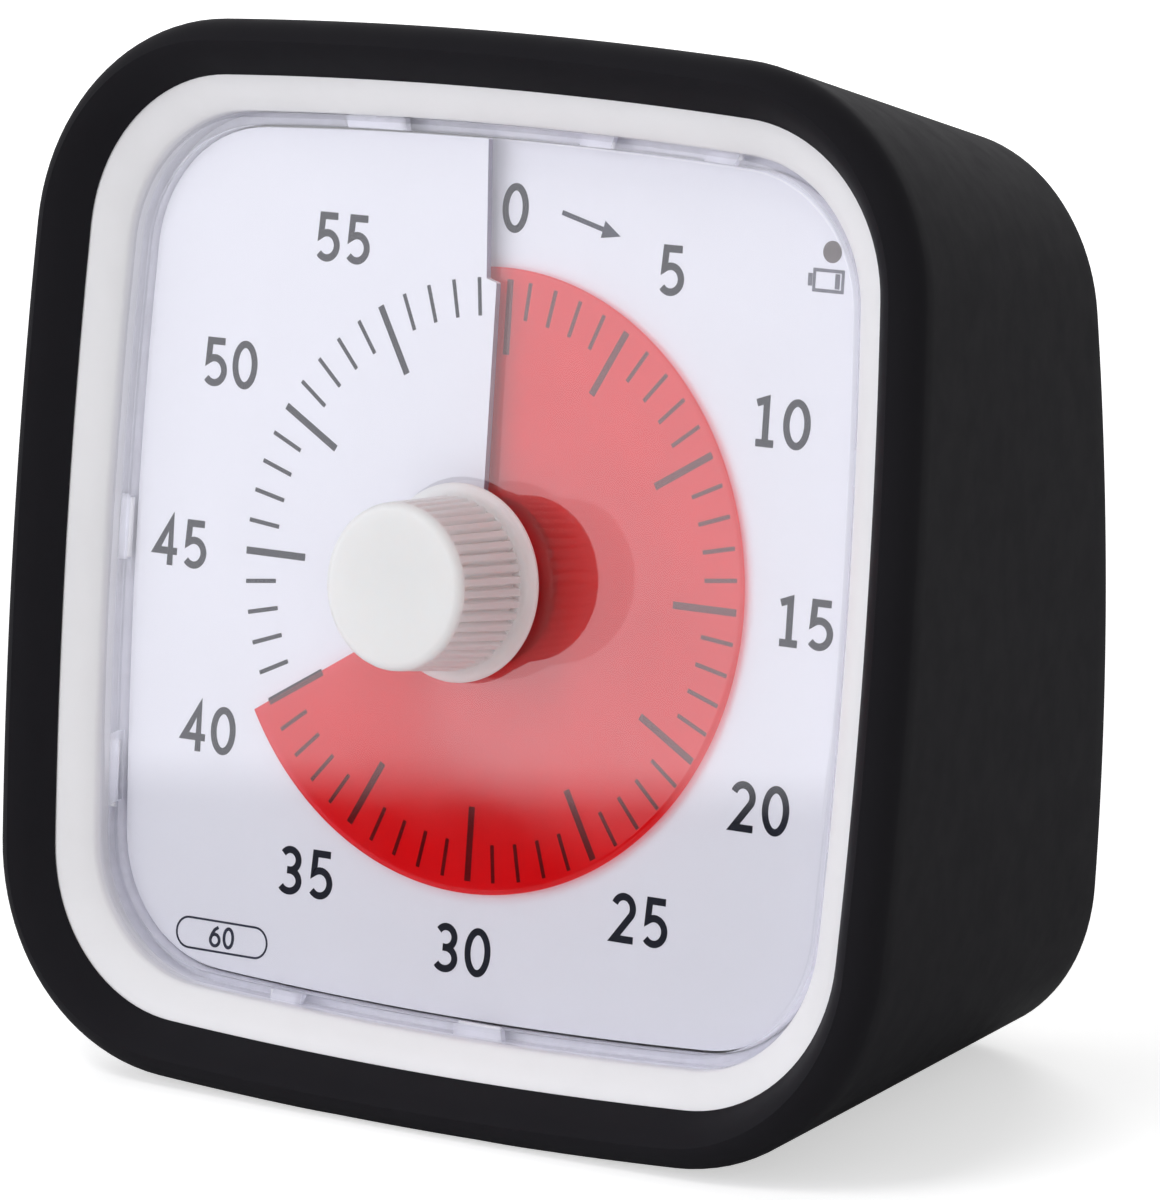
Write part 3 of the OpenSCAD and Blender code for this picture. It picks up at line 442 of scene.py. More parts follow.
def rubber(name):
    """Moulded silicone: matt, with fine pores, faint lint and a soft sheen."""
    mat = bpy.data.materials.new(name)
    nodes = Nodes(mat)
    patches = nodes.span(nodes.noise(16.0, 5, 0.6), 0.0, 1.0)
    base = nodes.mix(patches, (0.0140, 0.0134, 0.0158), (0.0152, 0.0146, 0.0170))
    lint = nodes.span(nodes.noise(0.42, 2, 0.75), 0.0, 0.2, 0.70, 0.80)
    pores = nodes.bump(nodes.noise(0.16, 3, 0.6), 0.2, 0.02)
    waves = nodes.noise(7.0, 2, 0.4)
    shader = nodes.add(
        "ShaderNodeBsdfPrincipled", Base_Color=nodes.mix(lint, base, (0.024, 0.024, 0.026)),
        Roughness=nodes.span(nodes.noise(3.5, 5, 0.65), 0.54, 0.60), Specular_IOR_Level=0.03,
        Normal=nodes.bump(waves, 0.02, 0.02, pores),
    )
    nodes.shows(shader.outputs[0])
    return mat


MATS = {
    "silicone": rubber("silicone"),
    "bezel": solid("bezel_plastic", (0.86, 0.855, 0.87), 0.315, vary=0.015, rough_vary=0.03,
                   bump=0.05),
    "shell": solid("shell_plastic", (0.78, 0.775, 0.76), 0.42, vary=0.02, bump=0.3, depth=0.02,
                   grain=0.25),
    "tab": solid("tab_plastic", (0.82, 0.82, 0.86), 0.35, vary=0.05),
    "knob": solid("knob_plastic", (0.80, 0.80, 0.795), 0.40, vary=0.015, rough_vary=0.05,
                  bump=0.12, soft=1.0),
    "dial": solid("dial_print_card", (0.785, 0.785, 0.85), 0.48, vary=0.012, patch=20, bump=0.08,
                  grain=0.2),
    # Dark purple-grey for the flap's cut end: painted shade, with a painted tint of the red disc's
    # bounce light
    "edge_painted_shade": solid("painted_shade_on_cut_edge", (0.30, 0.28, 0.38), 0.6, vary=0.1, patch=2, grain=0.15),
    "lens": clear_lens("clear_lens"),
    "lens_edge": clear_lens("clear_lens_edge", 0.6),
    "film": film("red_film"),
    "ink": ink("dark_ink", (0.010, 0.011, 0.019)),
    "slate_ink": ink("slate_ink", (0.035, 0.038, 0.06)),
    "grey_ink": ink("grey_ink", (0.14, 0.14, 0.17)),
    "steel": brushed("nickel_steel", (0.62, 0.62, 0.63), 0.3),
    "brass": brushed("brass", (0.66, 0.47, 0.2), 0.28),
    "cell": solid("cell_sleeve", (0.10, 0.22, 0.42), 0.2, vary=0.08, coat=0.4, bump=0.05),
    "board": solid("board_mask", (0.03, 0.17, 0.08), 0.35, vary=0.12, patch=3, coat=0.3),
    "brown_board": solid("brown_laminate", (0.25, 0.14, 0.06), 0.55, vary=0.12, patch=2,
                         grain=0.3),
    "black_plastic": solid("black_plastic", (0.016, 0.016, 0.018), 0.38, vary=0.1, bump=0.3),
    "led": solid("led_lens", (0.36, 0.34, 0.36), 0.12, vary=0.06, coat=0.5),
    "smoked": ink("smoked_window", (0.13, 0.11, 0.11)),
    "gear": solid("gear_plastic", (0.72, 0.71, 0.66), 0.35, vary=0.03),
}

NODE_MATS = {
    "back_cover": "shell", "battery_door": "shell", "chassis": "shell", "dial_carrier": "shell",
    "movement_base": "shell", "housing_screws": "steel", "movement_screws": "steel",
    "battery_cell_upper": "cell", "battery_cell_lower": "cell", "contact_springs": "steel",
    "contact_plates": "steel", "motor": "steel", "zero_switch": "brown_board",
    "circuit_board": "board", "led_board": "board", "control_chip": "black_plastic",
    "timing_crystal": "steel", "buzzer": "black_plastic", "switch_housing": "steel",
    "low_battery_led": "led", "knob_shaft": "gear", "main_wheel": "gear", "clutch_spring": "steel",
    "zero_cam": "gear", "shaft_clip": "steel", "disc_hub": "gear", "third_wheel": "gear",
    "motor_pinion": "brass", "volume_slider": "black_plastic", "silicone_sleeve": "silicone",
    "front_housing": "bezel", "lens": "lens", "dial_plate": "dial", "time_disc": "film",
    "knob": "knob",
}
for node_name, key in NODE_MATS.items():
    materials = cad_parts[node_name].data.materials
    materials.clear()
    materials.append(MATS[key])

# ---------------------------------------------------------------- sleeve and bezel

# The rim's inner side as (up from the bezel, out from its edge), a slope that rounds over at last
RIM_SLOPE = ((0, 0), (0.4, 0.28), (1.0, 0.7), (1.7, 1.2), (2.2, 1.62), (2.62, 2.06), (2.92, 2.48))

# The bezel's front as (y, half width, corner), from under the sleeve in to the window's ledge
LEDGE_HALF, LEDGE_CORNER = WINDOW_HALF - 1, BEZEL_CORNER - 2.7
HOUSING_HALF = RIM_HALF - CASE_INSET
BEZEL_PROFILE = (
    (BEZEL_Y + 0.3, HOUSING_HALF - 0.4, BEZEL_CORNER + 2),
    (BEZEL_Y, HOUSING_HALF - 1.1, BEZEL_CORNER + 1.4),
    (BEZEL_Y + 0.02, BEZEL_HALF + 0.2, BEZEL_CORNER + 0.2),
    (BEZEL_Y + 0.08, BEZEL_HALF - 0.25, BEZEL_CORNER - 0.15),
    (BEZEL_Y + 0.25, BEZEL_HALF - 0.8, BEZEL_CORNER - 0.55),
    (BEZEL_Y + 0.52, BEZEL_HALF - 1.4, BEZEL_CORNER - 0.95),
    (BEZEL_Y + 0.85, BEZEL_HALF - 1.95, BEZEL_CORNER - 1.3),
    (LENS_Y - 0.42, WINDOW_HALF + 0.45, LENS_CORNER + 0.3),
    (LENS_Y - 0.2, WINDOW_HALF + 0.22, LENS_CORNER + 0.15),
    (LENS_Y - 0.02, WINDOW_HALF + 0.06, LENS_CORNER + 0.05),
    (LENS_Y + 0.25, WINDOW_HALF, LENS_CORNER),
    (FIT_GAP, WINDOW_HALF, LENS_CORNER),
    (FIT_GAP, LEDGE_HALF, LEDGE_CORNER),
    (CHASSIS_FRONT - FIT_GAP, LEDGE_HALF, LEDGE_CORNER),
)


def make_sleeve():
    """Stretched skin: the rim's slope and crest, the body, and the lip around the back cover."""
    lip_y = BEZEL_Y - FIT_GAP
    back_in = CASE_DEPTH - LIP_THICK / COS
    rings = [face_ring(lip_y - up, BEZEL_HALF + out, BEZEL_CORNER + out) for up, out in RIM_SLOPE]
    # The crest's rounding starts where the slope ends, three steps in
    for down, off in quarter_round(12)[3:]:
        y, inset = -RIM_FORWARD + RIM_ROUND * down, RIM_ROUND * off
        rings.append(face_ring(y, RIM_HALF - inset, RIM_CORNER - inset))
    rings += body_rings(0, CASE_DEPTH - BACK_ROUND, 24)[1:]
    for down, off in quarter_round(7)[1:]:
        rings.append(body_ring(CASE_DEPTH - BACK_ROUND * off, 1, BACK_ROUND * down))
    hole = SLEEVE_WALL + BACK_LIP
    rings += [
        body_ring(CASE_DEPTH, 1, hole - 0.25), body_ring(CASE_DEPTH - 0.08, 1, hole - 0.07),
        body_ring(CASE_DEPTH - 0.25, 1, hole), body_ring(back_in, 1, hole),
    ]
    rings += body_rings(SLEEVE_WALL, back_in, 12)[::-1]
    rings.append(body_ring(lip_y, 0, SLEEVE_WALL))
    verts, faces = loft(rings, loop=True)
    piece("sleeve_skin", verts, faces, MATS["silicone"], "case", 40,
          ["silicone_sleeve"])


def make_bezel():
    """Bezel with its softly rounded edges, the window's ledge and the housing's walls."""
    rear = (COVER_IN - FIT_GAP) / COS
    steps = 8
    rings = [face_ring(y, half, corner) for y, half, corner in BEZEL_PROFILE]
    rings.append(body_ring(CHASSIS_FRONT - FIT_GAP, 0, INNER_INSET))
    for i in range(1, steps + 1):
        y = CHASSIS_FRONT + (rear - CHASSIS_FRONT) * i / steps
        rings.append(body_ring(y, i / steps, INNER_INSET))
    rings += body_rings(CASE_INSET, rear, 12)[:0:-1]
    rings.append(body_ring(BODY_FRONT + 1.2, 0, CASE_INSET))
    verts, faces = loft(rings, loop=True)
    piece("bezel_shell", verts, faces, MATS["bezel"], "case", 38,
          ["front_housing"])


# ---------------------------------------------------------------- lens

# Slots in the lens's skirt: the side as a turn from the top, the place along it and the width
TABS = [(0, -13, 6), (0, 9.5, 3), (0, 22, 3), (90, 20, 3), (90, -13, 3), (180, -3.1, 4.6),
        (180, 17, 3), (270, 0.8, 5.4), (270, -20, 6)]
SLOT_FRONT, SLOT_BACK = -1.55, -0.95
LENS_STEPS = 720
LENS_ROUND = 0.6
LENS_FILLET = 0.12


def edge_r(degrees, half, corner):
    """Distance from the centre to a bowed square's edge, degrees clockwise from 12."""
    quarter = degrees % 90
    fold = math.radians(min(quarter, 90 - quarter))
    side_end, _, radius, centre = corner_arc(half, corner, RIM_BOW)
    k = RIM_BOW * (math.sin(fold) / side_end) ** 2
    if fold < 1e-3:
        side = half
    else:
        side = (math.sqrt(math.cos(fold) ** 2 + 4 * half * k) - math.cos(fold)) / (2 * k)
    if side * math.sin(fold) < side_end:
        return side
    reach = centre * (math.sin(fold) + math.cos(fold))
    return reach + math.sqrt(reach * reach - 2 * centre * centre + radius * radius)


def tab_point(side, along, out):
    """A place on one side of the window: along it clockwise, and out from the centre."""
    t = math.radians(side)
    return along * math.cos(t) + out * math.sin(t), out * math.cos(t) - along * math.sin(t)


def slot_steps(side, along, width):
    """First and last step of the lens's rings at a slot."""
    ends = []
    for step in (-0.5, 0.5):
        x, z = tab_point(side, along + step * width, LENS_HALF)
        ends.append(math.atan2(x, z) / (2 * math.pi) * LENS_STEPS)
    low, high = sorted(ends)
    if high - low > LENS_STEPS / 2:
        low, high = high, low + LENS_STEPS
    return round(low), round(high)


def make_lens():
    """Clear tray: front face, rounded edge and a skirt with slots. Its flat back is left out."""
    n = LENS_STEPS
    turns = [360 * i / n for i in range(n)]

    def polar_ring(y, reaches):
        points = []
        for t, d in zip(turns, reaches):
            points.append(stand(d * math.sin(math.radians(t)), y, d * math.cos(math.radians(t))))
        return points

    def circle(y, r):
        return polar_ring(y, [r] * n)

    def square(y, half, corner):
        return polar_ring(y, [edge_r(t, half, corner) for t in turns])

    hole = SHAFT_R + 2.1
    back = LENS_Y + LENS_THICK
    inner_corner = LENS_CORNER - 0.7
    rings = [circle(back, hole), circle(LENS_Y + 0.15, hole), circle(LENS_Y, hole + 0.15)]
    rings += [circle(LENS_Y, r) for r in (9, 16, 24)]
    rings += [square(LENS_Y, LENS_HALF - d, LENS_CORNER - d * 0.7) for d in (6, 2.2, 0.8)]
    for down, off in quarter_round(7):
        y, inset = LENS_Y + LENS_ROUND * down, LENS_ROUND * off
        rings.append(square(y, LENS_HALF - inset, LENS_CORNER - 0.45 * off))
    # The skirt's outer and inner walls, three rings each
    first = len(rings)
    rings += [square(y, LENS_HALF, LENS_CORNER) for y in (SLOT_FRONT, SLOT_BACK, 0.0)]
    rings += [square(y, LENS_INNER, inner_corner) for y in (0.0, SLOT_BACK, SLOT_FRONT)]
    for down, off in quarter_round(4)[::-1]:
        y, inset = back + LENS_FILLET * down, LENS_FILLET * off
        rings.append(square(y, LENS_INNER - inset, inner_corner - 0.08 * off))
    rings.append(square(back, LENS_INNER - 0.2, LENS_CORNER - 0.84))
    verts, faces = loft(rings)
    for side, along, width in TABS:
        low, high = slot_steps(side, along, width)
        for j in range(low, high):
            a, b = j % n, (j + 1) % n
            for r in (first, first + 4):
                faces[r * n + a] = None
            for r, q in ((first, first + 5), (first + 1, first + 4)):
                faces.append((r * n + a, r * n + b, q * n + b, q * n + a))
        for j in (low % n, high % n):
            faces.append(tuple(r * n + j for r in (first, first + 1, first + 4, first + 5)))
    walls = range(first * n, (first + 5) * n)
    front = [face for face in faces if face and min(face) not in walls]
    skirt = [face for face in faces if face and min(face) in walls]
    piece("lens_edge", verts, skirt, MATS["lens_edge"], "case", 50)
    piece("lens_clear", verts, front, MATS["lens"], "case", 50, ["lens"])


def make_tabs():
    """Ends of the housing's tabs, which show in the slots of the lens's skirt."""
    bevel = 0.08
    verts, faces = [], []
    for side, along, width in TABS:
        shell = []
        for y, grow in ((SLOT_FRONT + bevel, -bevel), (SLOT_FRONT + 2 * bevel, 0),
                        (SLOT_BACK - 2 * bevel, 0), (SLOT_BACK - bevel, -bevel)):
            half = width / 2 - 0.2 + grow
            inner, outer = LENS_INNER - 0.15 - grow, LENS_HALF + 0.05
            ring = []
            for a, r in ((-half, inner), (half, inner), (half, outer), (-half, outer)):
                x, z = tab_point(side, along + a, r)
                ring.append(stand(x, y, z))
            shell.append(ring)
        tab_verts, tab_faces = loft(shell, caps=True)
        faces += [tuple(len(verts) + i for i in face) for face in tab_faces]
        verts += tab_verts
    piece("window_tabs", verts, faces, MATS["tab"], "case", 60)


# ---------------------------------------------------------------- dial and disc

FLAP_STEP = 0.62
FLAP_START, FLAP_SPAN = 352.5, 7.5


def sheet_y(degrees):
    """Depth of the middle of the dial sheet, degrees clockwise from 12."""
    return DIAL_PITCH / 2 - DIAL_PITCH * degrees / 360


def sheet_front(degrees):
    return sheet_y(degrees) - SHEET_THICK / 2


def disc_y(degrees):
    """Depth of the middle of the disc, half a pitch in front of the dial."""
    return sheet_y(degrees) - DIAL_PITCH / 2


def screw_sheet(columns, mid, thick):
    """A closed sheet on the screw surface from columns of (radius, degrees)."""
    n = len(columns[0])
    rings = []
    for column in columns:
        ring = []
        for side, part in ((-0.5, column), (0.5, column[::-1])):
            for r, t in part:
                a = math.radians(t)
                ring.append(stand(r * math.sin(a), mid(t) + side * thick, r * math.cos(a)))
        rings.append(ring)
    verts, faces = loft(rings)
    for base in (0, (len(rings) - 1) * 2 * n):
        for j in range(n - 1):
            far = base + 2 * n - 1 - j
            faces.append((base + j, base + j + 1, far - 1, far))
    return verts, faces


def make_dial():
    """The dial in one turn of a shallow screw; its end is a flap over its beginning."""
    step = 1.5
    turns = [-6 + step * i for i in range(int(366 / step))] + [358.8, 359.4, 359.9]
    columns = []
    for t in turns:
        near = max(0.0, (t - FLAP_START) / FLAP_SPAN)
        column = [(DIAL_HOLE_R + d, t) for d in (0, 4, 8, 12, 15)]
        column.append((FLAP_R - 1.2, t))
        for k in range(7):
            # The flap's corner: a round step back to the part that is cut away
            share = k / 6
            soft = share * share * (3 - 2 * share)
            r = FLAP_R - 0.2 + 0.4 * share
            column.append((r, t - near * math.degrees(FLAP_CUT * FLAP_STEP * soft / r)))
        for share in (0.35, 0.7, 1.0):
            base = edge_r(t - near * math.degrees(FLAP_CUT / DIAL_HALF), DIAL_HALF, DIAL_CORNER)
            r = FLAP_R + 0.2 + (base - FLAP_R - 0.2) * share
            cut = FLAP_CUT * (FLAP_STEP + (1 - FLAP_STEP) * share)
            column.append((r, t - near * math.degrees(cut / r)))
        columns.append(column)
    verts, faces = screw_sheet(columns, sheet_y, SHEET_THICK)
    sheet = piece("dial_sheet", verts, faces, MATS["dial"], "case", 40,
                  ["dial_plate"])
    # The flap's end faces get a dark purple-grey: painted shade with a painted red bounce tint, not
    # the card's own colour
    sheet.data.materials.append(MATS["edge_painted_shade"])
    for face in sheet.data.polygons:
        if abs(face.normal.x) > 0.7 and abs(face.center.x) < 4 * MM:
            face.material_index = 1


def make_disc():
    """Front and edges of the film. Its hidden back is left out, so that light crosses it once."""
    start = 6 * REST_MINUTES - 360
    turns = [start + 0.5 + 1.5 * i for i in range(240)] + [start + 359.4]
    radii = [SHAFT_R + 2.02, 9, 14, 19, 23, 25, DISC_R - 0.08, DISC_R]
    front = [(r, -0.5 if r < DISC_R else -0.35) for r in radii] + [(DISC_R, 0.5)]
    verts, faces = [], []
    for t in turns:
        a = math.radians(t)
        for r, side in front:
            y = disc_y(t) + side * DISC_THICK
            verts.append(stand(r * math.sin(a), y, r * math.cos(a)))
    n = len(front)
    for i in range(len(turns) - 1):
        row, after = i * n, (i + 1) * n
        faces += [(row + j, row + j + 1, after + j + 1, after + j) for j in range(n - 1)]
    for t, row in ((turns[0], 0), (turns[-1], (len(turns) - 1) * n)):
        a, y = math.radians(t), disc_y(t) + DISC_THICK / 2
        base = len(verts)
        verts += [stand(r * math.sin(a), y, r * math.cos(a)) for r in radii]
        for j in range(len(radii) - 1):
            faces.append((row + j, row + j + 1, base + j + 1, base + j))
    piece("disc_film", verts, faces, MATS["film"], "disc", 40, ["time_disc"])


# ---------------------------------------------------------------- prints

PRINT_THICK, PRINT_LIFT = 0.02, 0.005
# How far a point moves in the camera's view for each millimetre that it lies deeper
LOOK_X, LOOK_Z = 0.72, 0.112
MITRE_LIMIT = 0.35


def on_sheet(x, z, lift):
    """A printed point that shows at (x, z) from the camera, on the front of the dial sheet."""
    degrees = math.degrees(math.atan2(x, z))
    beside_flap = x > -1.2 and z > FLAP_R
    if degrees < 0 and not beside_flap:
        degrees += 360
    y = sheet_front(degrees) - PRINT_LIFT - lift
    return x - LOOK_X * y, y, z - LOOK_Z * y


class Print:
    """Collects ribbons of ink and makes one piece of them."""

    def __init__(self):
        self.verts, self.faces = [], []

    def add_point(self, px, pz, lift):
        """The upper and lower point of the ink at one place."""
        x, y, z = on_sheet(px, pz, lift)
        self.verts += [stand(x, y - PRINT_THICK, z), stand(x, y, z)]

    def ribbon(self, path, width, closed=False, lift=0.0):
        """A flat strip of even width along a path, mitred at its corners."""
        pts = [Vector(p) for p in path]
        count = len(pts)
        left, right = [], []
        for i, p in enumerate(pts):
            before = pts[i - 1] if i or closed else None
            after = pts[(i + 1) % count] if i < count - 1 or closed else None
            a = (p - before).normalized() if before is not None else None
            b = (after - p).normalized() if after is not None else None
            a, b = a or b, b or a
            mid = (a + b).normalized()
            normal = Vector((-mid.y, mid.x))
            reach = width / 2 / max(MITRE_LIMIT, normal.dot(Vector((-b.y, b.x))))
            left.append(p + normal * reach)
            right.append(p - normal * reach)
        base = len(self.verts)
        for p in left + right:
            self.add_point(p.x, p.y, lift)

        def at(side, j):
            return base + 2 * (side * count + j % count)

        for j in range(count if closed else count - 1):
            l0, l1, r0, r1 = at(0, j), at(0, j + 1), at(1, j), at(1, j + 1)
            self.faces += [(l0, l1, r1, r0), (l0 + 1, r0 + 1, r1 + 1, l1 + 1),
                           (l0, l0 + 1, l1 + 1, l1), (r0, r1, r1 + 1, r0 + 1)]
        if not closed:
            for j in (0, count - 1):
                l0, r0 = at(0, j), at(1, j)
                self.faces.append((l0, r0, r0 + 1, l0 + 1))

    def fill(self, points, lift=0.0):
        """A filled convex outline."""
        base = len(self.verts)
        for px, pz in points:
            self.add_point(px, pz, lift)
        n = len(points)
        self.faces.append(tuple(base + 2 * i for i in range(n)))
        self.faces.append(tuple(base + 2 * i + 1 for i in range(n))[::-1])
        for i in range(n):
            a, b = base + 2 * i, base + 2 * ((i + 1) % n)
            self.faces.append((a, b, b + 1, a + 1))

    def text(self, digits, left, bottom, stroke, scale=1.0):
        """Figures side by side, each stroke a little above the one before it."""
        for i, digit in enumerate(digits):
            for k, (path, closed) in enumerate(GLYPHS[digit]):
                moved = [(left + (ADVANCE * i + x) * scale, bottom + z * scale) for x, z in path]
                self.ribbon(moved, stroke, closed, lift=0.002 * k)

    def make(self, name, material):
        piece(name, self.verts, self.faces, material, "case", 30)


def arc(cx, cz, rx, rz, start, stop, steps=20):
    """Points along part of an ellipse; angles anticlockwise from its right end."""
    angles = [math.radians(start + (stop - start) * i / steps) for i in range(steps + 1)]
    return [(cx + rx * math.cos(a), cz + rz * math.sin(a)) for a in angles]


# Each figure as strokes in a cell 2.6 wide and 4 high, with the ends cut square
GLYPHS = {
    "0": [(arc(1.3, 2.0, 1.0, 1.72, 90, 450, 40)[:-1], True)],
    "1": [([(0.5, 3.4), (1.42, 3.72), (1.42, 0.25)], False), ([(0.55, 0.25), (2.25, 0.25)], False)],
    "2": [(arc(1.2, 2.75, 0.92, 0.98, 158, -30, 18) + [(0.42, 0.27), (2.3, 0.27)], False)],
    "3": [(arc(1.12, 2.87, 0.86, 0.86, 145, -90, 18) + [(0.85, 2.01)], False),
          ([(0.85, 2.03)] + arc(1.1, 1.14, 1.0, 0.88, 90, -145), False)],
    "4": [([(1.78, 0.0), (1.78, 3.68), (0.28, 1.2), (2.5, 1.2)], False)],
    "5": [([(2.2, 3.74), (0.66, 3.74), (0.56, 2.12)] + arc(1.2, 1.3, 1.02, 1.04, 118, -140),
           False)],
    "6": [(arc(1.3, 1.3, 1.02, 1.05, 90, 450, 30)[:-1], True),
          ([(2.0, 3.72), (1.2, 3.2), (0.6, 2.3), (0.3, 1.4)], False)],
}
STROKE = 0.6
ADVANCE = 3.08

# Numerals: their number, left edge and bottom as they show from the camera
NUMERALS = [
    ("55", -19.4, 24.5), ("50", -30.3, 13.25), ("45", -34.4, -2.1), ("40", -30.3, -17.3),
    ("35", -19.25, -28.0), ("30", -2.9, -32.3), ("25", 14.4, -27.6), ("20", 25.2, -17.25),
    ("15", 28.3, -2.1), ("10", 24.8, 13.45), ("5", 15.0, 24.6), ("0", -0.7, 28.4),
]
MARK_OUTER, MINUTE_INNER, MAJOR_INNER = 24.6, 21.49, 18.49
MINUTE_WIDE, MAJOR_WIDE = 0.35, 0.6
# The first mark stands clear of the flap's edge
ZERO_SHIFT = 0.55


def make_scale():
    """Sixty minute marks and the twelve numerals."""
    marks = Print()
    for minute in range(60):
        a = math.radians(6 * minute)
        major = minute % 5 == 0
        inner, width = (MAJOR_INNER, MAJOR_WIDE) if major else (MINUTE_INNER, MINUTE_WIDE)
        shift = ZERO_SHIFT if minute == 0 else 0.0
        radii = (inner, (inner + MARK_OUTER) / 2, MARK_OUTER)
        marks.ribbon([(r * math.sin(a) + shift, r * math.cos(a)) for r in radii], width)
    marks.make("minute_marks", MATS["ink"])
    figures = Print()
    for digits, left, bottom in NUMERALS:
        figures.text(digits, left, bottom, STROKE)
    figures.make("numerals", MATS["ink"])


def make_signs():
    """Direction arrow, battery sign, the lamp's window and the pill with the range."""
    arrow = Print()
    tail, tip = Vector((5.25, 30.4)), Vector((11.1, 28.9))
    along = (tip - tail).normalized()
    across = Vector((-along.y, along.x)) * 0.72
    neck = tip - along * 1.8
    arrow.ribbon([tail, (tail + neck) / 2, neck + along * 0.3], 0.4)
    arrow.fill([neck + across, tip, neck - across], 0.003)
    arrow.make("direction_arrow", MATS["slate_ink"])

    battery = Print()
    battery.ribbon([(29.9, 26.2), (29.9, 27.8), (32.6, 27.8), (32.6, 26.2)], 0.27, closed=True)
    battery.ribbon([(29.52, 26.5), (29.52, 27.5)], 0.4)
    battery.ribbon([(32.1, 26.4), (32.1, 27.6)], 0.45)
    battery.make("battery_sign", MATS["grey_ink"])

    window = Print()
    window.fill(arc(31.45, 29.3, 0.88, 0.88, 0, 360, 36)[:-1])
    window.make("light_window", MATS["smoked"])

    pill = Print()
    r, mid = 1.28, -32.5
    left, right = -29.55 + r, -20.05 - r
    ends = arc(right, mid, r, r, -90, 90, 14) + arc(left, mid, r, r, 90, 270, 14)
    pill.ribbon(ends, 0.18, closed=True)
    pill.text("60", -26.1, mid - 0.92, 0.28, 0.46)
    pill.make("range_mark", MATS["slate_ink"])


# ---------------------------------------------------------------- knob

# A rib's crest and flank as shares of the pitch
RIB_CREST, RIB_FLANK = 0.25, 0.15
STEPS_PER_RIB = 14
# The grooves deepen behind the front edge: (distance from the front, share of their depth)
GROOVE_RUN = ((0.75, 0.12), (0.9, 0.42), (1.1, 0.75), (1.4, 0.95), (1.8, 1.0), (5.0, 1.0))


def groove(angle):
    """1 in a groove and 0 on a rib, which is wider than the groove."""
    share = (angle * KNOB_RIBS / (2 * math.pi)) % 1
    t = min(1, max(0, (min(share, 1 - share) - RIB_CREST) / RIB_FLANK))
    return t * t * (3 - 2 * t)


def make_knob():
    """Ribbed barrel on a smooth neck and flange; each groove ends in a small pocket."""
    steps = KNOB_RIBS * STEPS_PER_RIB
    front, flange, r = -SHOWN_FORWARD, SHOWN_FLANGE_Y, SHOWN_R
    rib_end = flange - SHOWN_RIB_GAP
    neck = r + 0.2

    def ring(y, radius, depth=0.0):
        points = []
        if front < y <= rib_end:
            radius += SHOWN_TAPER * (y - front) / (rib_end - front)
        for i in range(steps):
            a = 2 * math.pi * i / steps
            d = radius - depth * groove(a)
            points.append(stand(d * math.sin(a), y, d * math.cos(a)))
        return points

    rings = [ring(front, d) for d in (1.5, 4.0, r - KNOB_ROUND - 0.4)]
    for down, off in quarter_round(8):
        rings.append(ring(front + KNOB_ROUND * down, r - KNOB_ROUND * off))
    for behind, share in GROOVE_RUN:
        rings.append(ring(front + behind, r, SHOWN_GROOVE * share))
    rings += [
        ring(rib_end - 0.6, r, SHOWN_GROOVE), ring(rib_end - 0.35, r, SHOWN_GROOVE + 0.3),
        ring(rib_end - 0.08, r - 0.02, SHOWN_GROOVE + 0.35), ring(rib_end, r - 0.1, SHOWN_GROOVE),
        ring(rib_end + 0.03, neck, 0.02), ring(flange - 0.4, neck + 0.02),
        ring(flange - 0.2, neck + 0.14), ring(flange - 0.08, neck + 0.32),
        ring(flange - 0.01, neck + 0.62), ring(flange, SHOWN_FLANGE_R - 0.35),
        ring(flange + 0.05, SHOWN_FLANGE_R - 0.12), ring(flange + 0.16, SHOWN_FLANGE_R),
        ring(flange + 0.3, SHOWN_FLANGE_R - 0.02), ring(FLANGE_Y + 0.35, FLANGE_R - 0.35),
        ring(FLANGE_Y + 0.35, SHAFT_R + 1.5), ring(LENS_Y + 0.5, SHAFT_R + 1.5),
        ring(LENS_Y + 0.5, SHAFT_R + 0.02), ring(front + 2.5, SHAFT_R + 0.02),
    ]
    verts, faces = loft(rings, caps=True)
    piece("knob_skin", verts, faces, MATS["knob"], "knob_shaft", 45, ["knob"])


make_sleeve()
make_bezel()
make_lens()
make_tabs()
make_dial()
make_disc()
make_scale()
make_signs()
make_knob()

# Rounded edges on the CAD pieces of the back that show
for node_name, width in (("back_cover", 0.25), ("battery_door", 0.25), ("volume_slider", 0.15),
                         ("housing_screws", 0.15)):
    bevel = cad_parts[node_name].modifiers.new("edge", "BEVEL")
    bevel.width = width * MM
    bevel.segments = 2
    bevel.limit_method = "ANGLE"
    bevel.angle_limit = math.radians(40)

# ---------------------------------------------------------------- floor, lights and camera

# Light of the surroundings on the object; to the camera and in reflections they are white
AMBIENT = 0.29


def plain(name, size, centre, x_dir=(1, 0, 0), y_dir=(0, 1, 0)):
    """A flat stage card of size (wide, high) metres, and the nodes of its material."""
    xd, yd, c = Vector(x_dir) * size[0] / 2, Vector(y_dir) * size[1] / 2, Vector(centre)
    corners = ((-1, -1), (1, -1), (1, 1), (-1, 1))
    mesh = bpy.data.meshes.new(name)
    mesh.from_pydata([tuple(c + i * xd + j * yd) for i, j in corners], [], [(0, 1, 2, 3)])
    uv = mesh.uv_layers.new(name="UVMap")
    for loop, (i, j) in zip(uv.data, corners):
        loop.uv = ((i + 1) / 2, (j + 1) / 2)
    obj = bpy.data.objects.new(name, mesh)
    bpy.context.scene.collection.objects.link(obj)
    mesh.materials.append(bpy.data.materials.new(name + "_face"))
    return obj, Nodes(mesh.materials[0])


